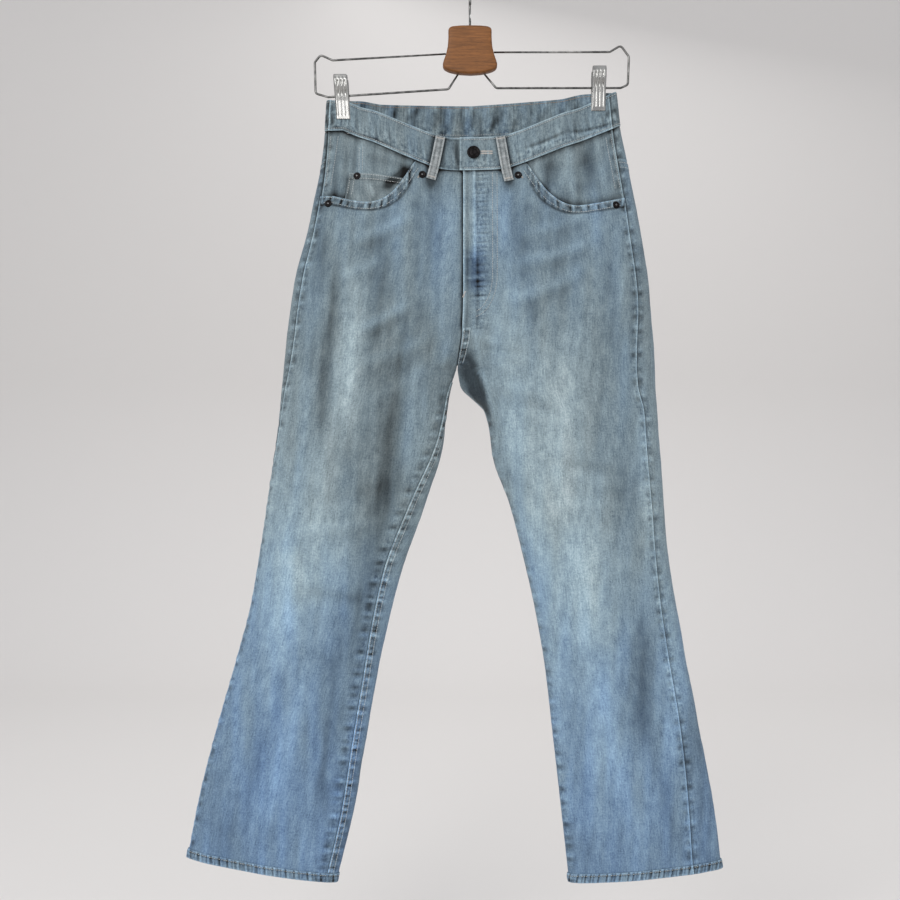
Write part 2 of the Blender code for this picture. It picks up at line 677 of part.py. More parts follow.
def centre_back_loop(material):
    """The belt loop over the centre back seam, from points of both halves."""
    part = np.array(LOOP_STATIONS)
    v = LOOP_TOP_V + (LOOP_FOOT_V - LOOP_TOP_V) * part
    stand = np.array(LOOP_STAND) + np.where(part > 0.7, 1.2, 0.0)
    reach = 2.0 - RIGHT.step(np.full(len(v), 1.98), v, LOOP_WIDTH / 2)
    outer = []
    inner = []
    for half, s in ((LEFT, reach), (RIGHT, np.full(len(v), 1.999)), (RIGHT, reach)):
        outer.append(half.at(s, v, stand + LOOP_WALL))
        inner.append(half.at(s, v, stand))
    wall("belt_loop_back", np.stack(outer, axis=1), np.stack(inner, axis=1), material)


def turned(name, profile, steps, place, axis, material):
    """A turned piece: a profile of (radius, height) pairs spun about its own axis."""
    mesh = bpy.data.meshes.new(name)
    points = [(radius * MM, 0.0, height * MM) for radius, height in profile]
    mesh.from_pydata(points, [(i, i + 1) for i in range(len(points) - 1)], [])
    obj = bpy.data.objects.new(name, mesh)
    spin = obj.modifiers.new("Turn", "SCREW")
    spin.axis = "Z"
    spin.steps = steps
    spin.render_steps = steps
    spin.use_merge_vertices = True
    spin.merge_threshold = 0.00005
    spin.use_smooth_shade = True
    direction = Vector([float(value) for value in axis])
    obj.rotation_mode = "QUATERNION"
    obj.rotation_quaternion = direction.to_track_quat("Z", "Y")
    obj.location = [value * MM for value in place]
    return finish(obj, material, smooth=False)


def button(material):
    """The waist button: a domed cap with a rolled rim on a short shank."""
    s, v = RIGHT.locate(*BUTTON_PLACE)
    place = RIGHT.at(s, v, BAND_OUT + SEAM_GAP)
    radius = BUTTON_DIAMETER / 2
    profile = ((0.0, 4.1), (radius * 0.55, 4.0), (radius * 0.72, 3.6), (radius * 0.82, 4.0),
               (radius * 0.93, 3.9), (radius, 3.1), (radius * 0.95, 2.2), (radius * 0.6, 1.7),
               (radius * 0.45, 1.4), (radius * 0.45, 0.0), (0.0, 0.0))
    turned("waist_button", profile, 20, place, RIGHT.normal(s, v), material)


def rivet(name, half, x, z, base, material):
    """A domed rivet head, held off the cloth by the seam gap."""
    s, v = half.locate(x, z)
    place = half.at(s, v, base)
    radius = RIVET_DIAMETER / 2
    profile = ((0.0, RIVET_HEIGHT), (radius * 0.35, RIVET_HEIGHT), (radius * 0.5, RIVET_HEIGHT * 0.75),
               (radius * 0.8, RIVET_HEIGHT * 0.9), (radius, RIVET_HEIGHT * 0.35), (radius, 0.0), (0.0, 0.0))
    turned(name, profile, 12, place, half.normal(s, v), material)


def rounded_path(corners, radius, steps=4):
    """Points of a bent wire: straight runs with an arc of the given radius at each corner."""
    corners = [np.array(corner, dtype=float) for corner in corners]
    points = [corners[0]]
    for before, corner, after in zip(corners, corners[1:], corners[2:]):
        back = unit(before - corner)
        ahead = unit(after - corner)
        angle = math.acos(float(np.clip(back @ ahead, -1.0, 1.0)))
        room = min(np.linalg.norm(before - corner), np.linalg.norm(after - corner)) * 0.49
        cut = min(radius / math.tan(angle / 2), room)
        for part in np.linspace(0.0, 1.0, steps + 1):
            start = corner + back * cut
            end = corner + ahead * cut
            points.append((1 - part) ** 2 * start + 2 * part * (1 - part) * corner + part ** 2 * end)
    points.append(corners[-1])
    return points


def wire(name, points, material):
    """A round steel wire along a path."""
    curve = bpy.data.curves.new(name, "CURVE")
    curve.dimensions = "3D"
    curve.bevel_depth = WIRE / 2 * MM
    curve.bevel_resolution = 2
    curve.use_fill_caps = True
    spline = curve.splines.new("POLY")
    spline.points.add(len(points) - 1)
    for target, point in zip(spline.points, points):
        target.co = (point[0] * MM, point[1] * MM, point[2] * MM, 1.0)
    return finish(bpy.data.objects.new(name, curve), material, smooth=False)


ARM_CORNERS = {
    "left": ((-31.85, -81.0), (-180.8, -89.4), (-196.5, -82.3), (-204.2, -92.0), (-203.2, -133.0),
             (-186.7, -137.9), (-28.3, -127.4), (-16.0, -108.25)),
    "right": ((31.4, -78.9), (184.1, -78.4), (198.4, -69.8), (209.2, -84.7), (207.8, -121.5),
              (198.4, -125.8), (34.5, -126.0), (19.1, -107.8)),
}
ARM_BEND = 5.0


def hanger_arm(side, material):
    """One arm of the hanger: a wire loop whose two ends stand in the block."""
    corners = [(x, 0.0, z) for x, z in ARM_CORNERS[side]]
    wire("hanger_arm_" + side, rounded_path(corners, ARM_BEND, 3), material)


def hanger_hook(material):
    """The shank and crook: edge on from the front, open towards the front."""
    radius = HOOK_INNER_RADIUS + WIRE / 2
    middle = WIRE / 2 - radius
    angles = np.radians(np.linspace(-62.0, 205.0, 20))
    crook = [(0.0, radius * math.cos(a), middle + radius * math.sin(a)) for a in angles]
    shank = [(0.0, 0.0, BLOCK_TOP_Z + SEAM_GAP), (0.0, 0.0, BLOCK_TOP_Z + 6.0), (0.0, 2.4, -34.5)]
    wire("hanger_hook", shank + crook, material)


def hanger_block(material):
    """The wooden block that the hook and both arms stand in."""
    half_outline = ((0.0, BLOCK_TOP_Z), (14.0, -45.0), (25.0, -46.2), (28.6, -49.5), (28.4, -60.0),
                    (29.2, -72.0), (31.4, -82.0), (34.6, -91.0), (36.2, -97.0), (34.6, -101.0),
                    (28.0, -104.6), (15.0, -107.6), (0.0, -108.6))
    outline = list(half_outline) + [(-x, z) for x, z in half_outline[-2:0:-1]]
    curve = bpy.data.curves.new("hanger_block", "CURVE")
    curve.dimensions = "2D"
    curve.fill_mode = "BOTH"
    curve.extrude = (BLOCK_THICKNESS / 2 - 1.5) * MM
    curve.bevel_depth = 1.5 * MM
    curve.bevel_resolution = 1
    curve.offset = -1.5 * MM
    spline = curve.splines.new("POLY")
    spline.use_cyclic_u = True
    spline.points.add(len(outline) - 1)
    for target, (x, z) in zip(spline.points, outline):
        target.co = (x * MM, z * MM, 0.0, 1.0)
    obj = bpy.data.objects.new("hanger_block", curve)
    obj.rotation_euler = (math.pi / 2, 0.0, 0.0)
    return finish(obj, material, smooth=False)


CLIP_PLACES = {"left": (-170.1, -110.0, 3.8), "right": (169.7, -98.9, -1.1)}
CLIP_RAIL_Z = {"left": -136.8, "right": -125.9}
JAW_DOWN = (0.0, 6.0, 14.0, 21.0, 27.0, 34.0, 46.0, 58.0)
JAW_OPEN = (7.6, 8.6, 8.0, 6.0, 4.6, 3.4, 3.15, 3.15)
JAW_RIBS = (0.0, 0.5, 0.0, 0.5, 0.0, 0.5, 0.0, 0.5, 0.0)


def clip_jaw(name, side, facing, drop, material):
    """One sprung plate of a clip, ribbed down its outer face."""
    x_top, z_top, tilt = CLIP_PLACES[side]
    down = np.array(JAW_DOWN) * (CLIP_HEIGHT - drop) / CLIP_HEIGHT + drop
    open_y = np.interp(down, JAW_DOWN, JAW_OPEN)
    across = np.linspace(-0.5, 0.5, len(JAW_RIBS)) * CLIP_WIDTH
    lean = math.tan(math.radians(tilt))
    outer = np.zeros((len(down), len(across), 3))
    outer[..., 0] = x_top + across[None, :] + down[:, None] * lean
    outer[..., 2] = z_top - down[:, None]
    inner = outer.copy()
    rib = np.array(JAW_RIBS)[None, :] * np.where((down > 4.0) & (down < 54.0), 1.0, 0.0)[:, None]
    inner[..., 1] = facing * open_y[:, None]
    outer[..., 1] = facing * (open_y[:, None] + JAW_WALL + rib)
    wall(name, outer, inner, material)


def clip_spring(side, material):
    """The coiled spring on the lower rail, between the jaws of a clip."""
    x_top, z_top, tilt = CLIP_PLACES[side]
    z = CLIP_RAIL_Z[side]
    x = x_top + (z_top - z) * math.tan(math.radians(tilt))
    half_length = 5.5
    outer = 4.15
    inner = WIRE / 2 + 0.35
    profile = ((outer, half_length), (outer, -half_length), (inner, -half_length),
               (inner, half_length), (outer, half_length))
    turned("clip_spring_" + side, profile, 12, (x, 0.0, z), (1.0, 0.0, 0.066 if side == "left" else 0.0),
           material)


def build():
    """Make every piece."""
    for obj in list(bpy.data.objects):
        bpy.data.objects.remove(obj, do_unlink=True)
    bpy.context.scene.collection.children.link(bpy.data.collections.new(COLLECTION))

    denim = make_material("denim_light", (0.42, 0.50, 0.58), 0.9)
    trim = make_material("denim_trim", (0.40, 0.45, 0.52), 0.9)
    tape = make_material("zip_tape", (0.35, 0.38, 0.42), 0.85)
    dark_metal = make_material("aged_metal", (0.09, 0.06, 0.05), 0.45, 1.0)
    steel = make_material("hanger_steel", (0.55, 0.55, 0.54), 0.3, 1.0)
    wood = make_material("hanger_wood", (0.36, 0.22, 0.12), 0.5)

    for half in HALVES:
        front_panel(half, denim)
        back_panel(half, denim)
        back_yoke(half, denim)
        pocket_facing(half, denim)
        back_pocket(half, denim)
        hem(half, denim)
        inseam_fell(half, denim)
    coin_pocket(denim)
    waistband(denim)
    fly_piece("fly_facing", -DENIM - 0.8 - 0.8, 0.8, FLY_WIDTH, -9.0, denim)
    fly_piece("fly_zip", -DENIM - 2.0 - 0.8, 0.8, 28.0, -7.0, tape)
    fly_piece("fly_shield", -DENIM - 3.2 - 1.6, 1.6, FLY_WIDTH - 4.0, -12.0, denim)
    rise_fell("front_rise_fell", RIGHT, (661.0, 675.0, 698.0, 716.0), False, denim)
    rise_fell("back_rise_fell", LEFT, (661.0, 675.0, 698.0, 726.0, 755.0, 797.0, 835.0, 866.0, 902.0),
              True, denim)

    belt_loop("belt_loop_front_left", LEFT, -38.5, -51.5, False, trim)
    belt_loop("belt_loop_front_right", RIGHT, 39.0, 51.0, False, trim)
    belt_loop("belt_loop_rear_left", LEFT, -108.0, -112.0, True, trim)
    belt_loop("belt_loop_rear_right", RIGHT, 110.0, 114.0, True, trim)
    centre_back_loop(trim)

    button(dark_metal)
    on_panel = SEAM_GAP
    rivet("rivet_left_inner", LEFT, -62.0, -246.0, on_panel, dark_metal)
    rivet("rivet_left_outer", LEFT, -185.0, -281.0, on_panel, dark_metal)
    rivet("rivet_coin", LEFT, -147.5, -245.5, -FACING_DEPTH["left"] + 0.3 + POCKET_WALL + 0.3, dark_metal)
    rivet("rivet_right_inner", RIGHT, 62.0, -246.5, on_panel, dark_metal)
    rivet("rivet_right_outer", RIGHT, 190.0, -283.0, on_panel, dark_metal)

    hanger_hook(steel)
    hanger_block(wood)
    for side in ("left", "right"):
        hanger_arm(side, steel)
        clip_jaw("clip_front_" + side, side, -1.0, 0.0, steel)
        clip_jaw("clip_back_" + side, side, 1.0, 3.0, steel)
        clip_spring(side, steel)


build()
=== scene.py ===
"""Dresses the bootcut jeans and the hanger that holds them.

Sizes and places are in millimetres, in the frame of the CAD part, and MM turns them into metres
as each mesh is made.  A place on the cloth is (s, v): v runs from 0 at the hem to V_TOP at the
waistband's upper edge, and s runs round the cloth, 0 at the inner fold or centre front, 1 at
the outer fold, 2 at the centre back.
"""
import json
import math

import bpy
import numpy as np
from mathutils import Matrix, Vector

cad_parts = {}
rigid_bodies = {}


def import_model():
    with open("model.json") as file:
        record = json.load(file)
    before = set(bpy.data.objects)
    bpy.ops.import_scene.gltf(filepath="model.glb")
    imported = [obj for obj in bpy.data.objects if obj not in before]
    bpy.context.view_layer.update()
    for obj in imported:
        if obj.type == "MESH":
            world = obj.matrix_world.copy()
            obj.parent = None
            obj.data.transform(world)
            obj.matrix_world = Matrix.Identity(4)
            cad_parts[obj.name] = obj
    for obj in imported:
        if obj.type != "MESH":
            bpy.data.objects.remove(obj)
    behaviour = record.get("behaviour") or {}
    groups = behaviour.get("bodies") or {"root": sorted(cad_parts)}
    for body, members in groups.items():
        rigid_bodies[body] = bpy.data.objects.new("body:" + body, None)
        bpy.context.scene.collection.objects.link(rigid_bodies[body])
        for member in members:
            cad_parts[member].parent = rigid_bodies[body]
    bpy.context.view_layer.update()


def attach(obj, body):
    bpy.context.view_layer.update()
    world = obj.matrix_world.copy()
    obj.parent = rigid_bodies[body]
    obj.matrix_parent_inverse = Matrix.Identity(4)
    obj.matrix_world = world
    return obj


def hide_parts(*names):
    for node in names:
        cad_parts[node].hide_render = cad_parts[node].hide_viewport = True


bl_info = {
    "name": "Bootcut jeans on a clip hanger",
    "version": (1, 0, 0),
    "blender": (4, 5, 0),
    "location": "3D View > Sidebar > Jeans",
    "description": "Makes worn denim jeans, their sewing and the clip hanger that holds them",
    "category": "Object",
}

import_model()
MM = 0.001

# Thickness of the cloth and of the band, gaps between pieces, and the widths of fells and hems
DENIM = 1.2
BAND_WALL = 2.4
BAND_OUT = 1.0
SEAM_GAP = 0.3
LAY_GAP = 0.45
FELL_WIDTH = 10.0
HEM_LOW = 0.4
HEM_HEIGHT = 12.0
HEM_WALL = 1.5

# How far the wrong side's weave is moved from the right side's, in cloth millimetres
WRONG_SIDE_UV = 311.0

# Levels up the cloth, and how the legs' form turns into the trunk's between some of them
V_CROTCH = 655.0
V_MAPPED = 866.0
V_WAIST = 976.0
V_TOP = 1017.0
PANEL_TOP_V = 930.0
CENTRE_X = -9.5
CROTCH_CURVE = 95.0
CENTRE_REACH = 0.22
TRUNK_FROM = 540.0
TRUNK_TO = 850.0
SPREAD_FROM = 600.0
SPREAD_TO = 760.0
DROOP_FROM = 700.0
DROOP_TO = 930.0
RAMP_ROUND = 0.12

# How high the outer fold lies at each level, and which part of the front's width the outseam
# is in from it
SIDE_COLUMNS = ("v", "x_out", "z_out", "outseam")
LEFT_SIDE = (
    (0, -372.1, -1137.5, 0.03),
    (93, -353.7, -1046.7, 0.03),
    (177, -332.7, -965.2, 0.03),
    (267, -307.7, -878.4, 0.03),
    (342, -288.6, -806.1, 0.03),
    (415, -276.1, -733.8, 0.03),
    (495, -264.3, -654.9, 0.04),
    (575, -253.1, -576.0, 0.07),
    (625, -247.9, -526.0, 0.10),
    (655, -245.2, -499.7, 0.13),
    (715, -238.7, -440.5, 0.18),
    (777, -230.1, -378.7, 0.20),
    (830, -217.0, -326.1, 0.20),
    (884, -205.1, -273.5, 0.19),
    (933, -195.9, -227.5, 0.16),
    (976, -190.7, -183.4, 0.14),
    (1017, -188.0, -142.7, 0.13),
)
RIGHT_SIDE = (
    (0, 331.4, -1151.9, 0.295),
    (109, 316.9, -1044.1, 0.27),
    (202, 299.8, -952.1, 0.245),
    (286, 282.7, -870.5, 0.235),
    (354, 270.2, -803.5, 0.225),
    (415, 261.7, -743.0, 0.21),
    (484, 255.1, -674.6, 0.195),
    (550, 249.8, -608.8, 0.19),
    (583, 247.2, -576.0, 0.187),
    (607, 246.2, -552.3, 0.19),
    (638, 243.9, -520.7, 0.21),
    (655, 243.0, -499.7, 0.22),
    (715, 239.3, -440.5, 0.24),
    (777, 234.1, -378.7, 0.24),
    (830, 226.2, -326.1, 0.24),
    (884, 217.0, -273.5, 0.23),
    (933, 207.1, -224.9, 0.22),
    (976, 197.2, -176.9, 0.20),
    (1017, 192.0, -131.5, 0.19),
)

# The legs up to the crotch: the inner fold, how far it stands back, how far front and back
# stand out, and the inseam's part of the width, below zero where it lies on the back
LEG_COLUMNS = ("v", "x_in", "z_in", "y_in", "front", "back", "inseam")
LEFT_LEG = (
    (0, -174.9, -1170.3, 0, 19, 21, 0.175),
    (93, -152.5, -1078.3, 0, 20, 22, 0.18),
    (177, -138.1, -994.1, 0, 22, 24, 0.19),
    (267, -123.0, -908.7, 0, 25, 27, 0.20),
    (342, -107.8, -831.1, 0, 29, 29, 0.215),
    (415, -89.4, -760.1, 0, 31, 30, 0.225),
    (495, -60.5, -677.2, 1, 33, 34, 0.20),
    (575, -34.8, -591.8, 3, 36, 39, 0.13),
    (625, -27.6, -531.3, 6, 37, 41, 0.06),
    (655, -17.2, -495.0, 8, 38, 42, 0.0),
)
RIGHT_LEG = (
    (0, 130.2, -1170.3, 0, 19, 21, -0.04),
    (109, 118.3, -1062.5, 0, 20, 22, -0.04),
    (202, 107.8, -967.8, 0, 22, 24, -0.04),
    (286, 98.0, -883.7, 0, 25, 27, -0.04),
    (354, 85.5, -812.7, 0, 29, 29, -0.04),
    (415, 71.0, -746.9, 2, 31, 30, -0.04),
    (484, 52.6, -674.6, 5, 33, 34, -0.04),
    (550, 29.6, -608.8, 10, 36, 38, -0.04),
    (583, 25.6, -576.0, 13, 36, 39, -0.035),
    (607, 19.0, -551.0, 15, 37, 40, -0.03),
    (622, 4.3, -535.8, 15, 37, 41, -0.02),
    (638, -12.8, -518.1, 12, 38, 42, -0.01),
    (655, -17.2, -495.0, 8, 38, 42, 0.0),
)

# The trunk, which both halves share: the centre front and the centre back
TRUNK_COLUMNS = ("v", "x_front", "z_front", "x_back", "z_back", "y_in", "front", "back")
TRUNK = (
    (655, -17.2, -495.0, -17.2, -495.0, 8, 38, 42),
    (715, -10.8, -445.0, -5.8, -436.0, 0, 38, 44),
    (777, -9.5, -396.6, -1.8, -372.0, 0, 37, 44),
    (830, -9.5, -355.0, -0.2, -318.0, 0, 36, 42),
    (884, -9.5, -313.0, 0.5, -266.0, 0, 34, 38),
    (933, -9.5, -274.6, 1.0, -223.0, 0, 31, 33),
    (976, -9.5, -241.0, 1.0, -184.5, 0, 27, 27),
    (1017, -9.5, -197.0, 1.0, -144.0, 0, 22, 22),
)

# The clips press front and back together: how firmly at each level, and over which part of s
PINCH_LEVELS = (860.0, 900.0, 940.0, 976.0, 990.0, 1017.0)
PINCH_FIRMNESS = (0.0, 0.05, 0.2, 0.55, 1.0, 1.0)
PINCH_S = (0.42, 0.57, 0.80, 0.89)
PINCH_HALF = 1.8

# The largest folds of the hung cloth: s and v of the lower end, s and v of the upper end, the
# half width as a part of s, and the height, which is below zero for a trough
FOLD_COLUMNS = ("s_low", "v_low", "s_high", "v_high", "width", "height")
LEFT_FOLDS = (
    (0.67, 520.0, 0.60, 850.0, 0.050, -2.6),
    (0.55, 480.0, 0.46, 840.0, 0.060, 2.6),
    (0.42, 420.0, 0.30, 800.0, 0.060, -2.2),
    (0.36, 60.0, 0.48, 330.0, 0.070, 2.2),
    (0.62, 40.0, 0.64, 300.0, 0.060, -2.0),
    (1.40, 120.0, 1.46, 560.0, 0.070, 2.4),
    (1.58, 300.0, 1.66, 690.0, 0.070, -2.4),
)
RIGHT_FOLDS = (
    (0.47, 330.0, 0.46, 820.0, 0.080, 2.6),
    (0.62, 480.0, 0.56, 780.0, 0.055, -2.2),
    (0.30, 380.0, 0.26, 700.0, 0.055, -2.2),
    (0.50, 40.0, 0.44, 300.0, 0.080, 2.2),
    (0.30, 70.0, 0.27, 260.0, 0.055, -1.8),
    (1.42, 100.0, 1.48, 540.0, 0.070, 2.4),
    (1.60, 320.0, 1.68, 700.0, 0.070, -2.4),
)

# The curved front pockets: where the mouth leaves the waistband, its level at the outseam and
# the roundness of its curve
MOUTH_START = {"left": 0.212, "right": 0.250}
MOUTH_LEVEL = {"left": 887.0, "right": 888.0}
MOUTH_ROUND = 1.25
MOUTH_DROP = 8.5
FACING_TUCK = 20.0
FACING_DEPTH = {"left": 2.9, "right": 1.6}
FACING_WALL = 0.9
POCKET_WALL = 1.0

# The coin pocket's upper corners, and the hem's row of stitches
COIN_INNER = (-81.0, -251.0)
COIN_OUTER = (-158.0, -240.0)
HEM_ROW_V = 9.5

# The yoke seam's levels at the outseam and at the centre back
YOKE_SIDE = 938.0
YOKE_CENTRE = 905.0

# Back pockets, seen from the back
POCKET_X = {"left": -101.0, "right": 103.0}
POCKET_TOP_Z = -283.0
POCKET_TOP_WIDTH = 150.0
POCKET_LOW_WIDTH = 132.0
POCKET_SIDE_HEIGHT = 138.0
POCKET_HEIGHT = 158.0

# The fly: widths of its layers, levels of its foot, of where its curve starts and of its top, and
# x of the waistband's buttonhole end and of its underlapped end
FLY_WIDTH = 43.0
ZIP_WIDTH = 28.0
FLY_LOW_Z = -425.0
FLY_CURVE_Z = -385.0
FLY_HIGH_Z = -243.0
FLAP_X = -13.8
UNDERLAP_X = 24.0

# Belt loops: width and wall, levels of both ends, and how far they stand off along their length
LOOP_WIDTH = 12.4
LOOP_WALL = 1.7
LOOP_TOP_V = 1015.5
LOOP_FOOT_V = 955.0
LOOP_STATIONS = (0.0, 0.07, 0.2, 0.45, 0.62, 0.74, 0.88, 1.0)
LOOP_STAND = (1.4, 1.9, 3.0, 3.2, 2.6, 1.5, 0.6, 0.45)

# Metal
BUTTON_DIAMETER = 17.0
BUTTON_PLACE = (4.2, -217.5)
RIVET_DIAMETER = 9.6

# Hanger
WIRE = 3.0
HOOK_INNER_RADIUS = 15.0
BLOCK_TOP_Z = -44.7
BLOCK_THICKNESS = 15.0
BLOCK_MIDDLE_Z = -78.0
BLOCK_RIM = 3.4
BLOCK_POINTS = 120
CLIP_WIDTH = 18.6
CLIP_HEIGHT = 58.0
JAW_WALL = 1.1
ARM_CORNERS = {
    "left": ((-31.85, -81.0), (-180.8, -89.4), (-196.5, -82.3), (-204.2, -92.0), (-203.2, -133.0),
             (-186.7, -137.9), (-28.3, -127.4), (-16.0, -108.25)),
    "right": ((31.4, -78.9), (184.1, -78.4), (198.4, -69.8), (209.2, -84.7), (207.8, -121.5),
              (198.4, -125.8), (34.5, -126.0), (19.1, -107.8)),
}
ARM_BEND = 5.0
CLIP_PLACES = {"left": (-170.1, -110.0, 3.8), "right": (169.7, -98.9, -1.1)}
CLIP_RAIL_Z = {"left": -136.8, "right": -125.9}
JAW_DOWN = (0.0, 6.0, 14.0, 21.0, 27.0, 34.0, 46.0, 58.0)
JAW_OPEN = (7.6, 8.6, 8.0, 6.0, 4.6, 3.4, 3.15, 3.15)
BLOCK_OUTLINE = (
    (0.0, BLOCK_TOP_Z), (14.0, -45.0), (25.0, -46.2), (28.6, -49.5), (28.4, -60.0), (29.2, -72.0),
    (31.4, -82.0), (34.6, -91.0), (36.2, -97.0), (34.6, -101.0), (28.0, -104.6), (15.0, -107.6),
    (0.0, -108.6),
)


def table(columns, rows):
    """Return one array for each named column of a table."""
    values = np.array(rows, dtype=float)
    return {name: values[:, index] for index, name in enumerate(columns)}


def through(levels, values, at):
    """Smooth curve through a column that never overshoots its neighbouring levels."""
    levels = np.asarray(levels, dtype=float)
    values = np.asarray(values, dtype=float)
    width = np.diff(levels)
    slope = np.diff(values) / width
    tangent = np.empty_like(values)
    tangent[0] = slope[0]
    tangent[-1] = slope[-1]
    before = slope[:-1]
    after = slope[1:]
    same = before * after > 0
    total = np.where(same, before + after, 1.0)
    tangent[1:-1] = np.where(same, 2.0 * before * after / total, 0.0)
    at = np.asarray(at, dtype=float)
    index = np.clip(np.searchsorted(levels, at, side="right") - 1, 0, len(width) - 1)
    part = (at - levels[index]) / width[index]
    square = part * part
    cube = square * part
    return ((2 * cube - 3 * square + 1) * values[index]
            + (cube - 2 * square + part) * width[index] * tangent[index]
            + (3 * square - 2 * cube) * values[index + 1]
            + (cube - square) * width[index] * tangent[index + 1])


def together(*values):
    """Values as arrays of floats of one shape."""
    return np.broadcast_arrays(*(np.asarray(value, dtype=float) for value in values))


def ease(value, start, end):
    """Rise smoothly from 0 at start to 1 at end."""
    part = np.clip((np.asarray(value, dtype=float) - start) / (end - start), 0.0, 1.0)
    return part * part * (3.0 - 2.0 * part)


def bell(value, width, centre=0.0):
    """A bell curve: one at its centre, and about a third at one width from it."""
    return np.exp(-((value - centre) / width) ** 2)


def bells(value, *terms):
    """A sum of bell curves, each given by its height, its width and its centre."""
    return sum(height * bell(value, width, centre) for height, width, centre in terms)


def unit(vectors):
    """Scale vectors to length one."""
    length = np.linalg.norm(vectors, axis=-1, keepdims=True)
    return vectors / np.maximum(length, 1e-9)


def run_along(line):
    """The length along a line of points, from its first one to each."""
    return np.concatenate([[0.0], np.cumsum(np.linalg.norm(np.diff(line, axis=0), axis=1))])


def read_at(values, run, at):
    """Rows of values that stand along a run, read between them at given lengths."""
    return np.stack([np.interp(at, run, column) for column in values.T], axis=1)


def quads(index, ring=False):
    """Faces between the rows of a grid of point numbers, closed round if it is a ring."""
    after = np.roll(index, -1, axis=1)
    last = index.shape[1] - (0 if ring else 1)
    face = [index[:-1, :last], after[:-1, :last], after[1:, :last], index[1:, :last]]
    return np.stack(face, axis=-1).reshape(-1, 4)


def closed_on_poles(index):
    """Faces of a ring grid whose end rows close on two poles, which are numbered after its points."""
    face = quads(index, True).tolist()
    first, last = index[0].tolist(), index[-1].tolist()
    face += [[index.size, b, a] for a, b in zip(first, first[1:] + first[:1])]
    face += [[index.size + 1, a, b] for a, b in zip(last, last[1:] + last[:1])]
    return face


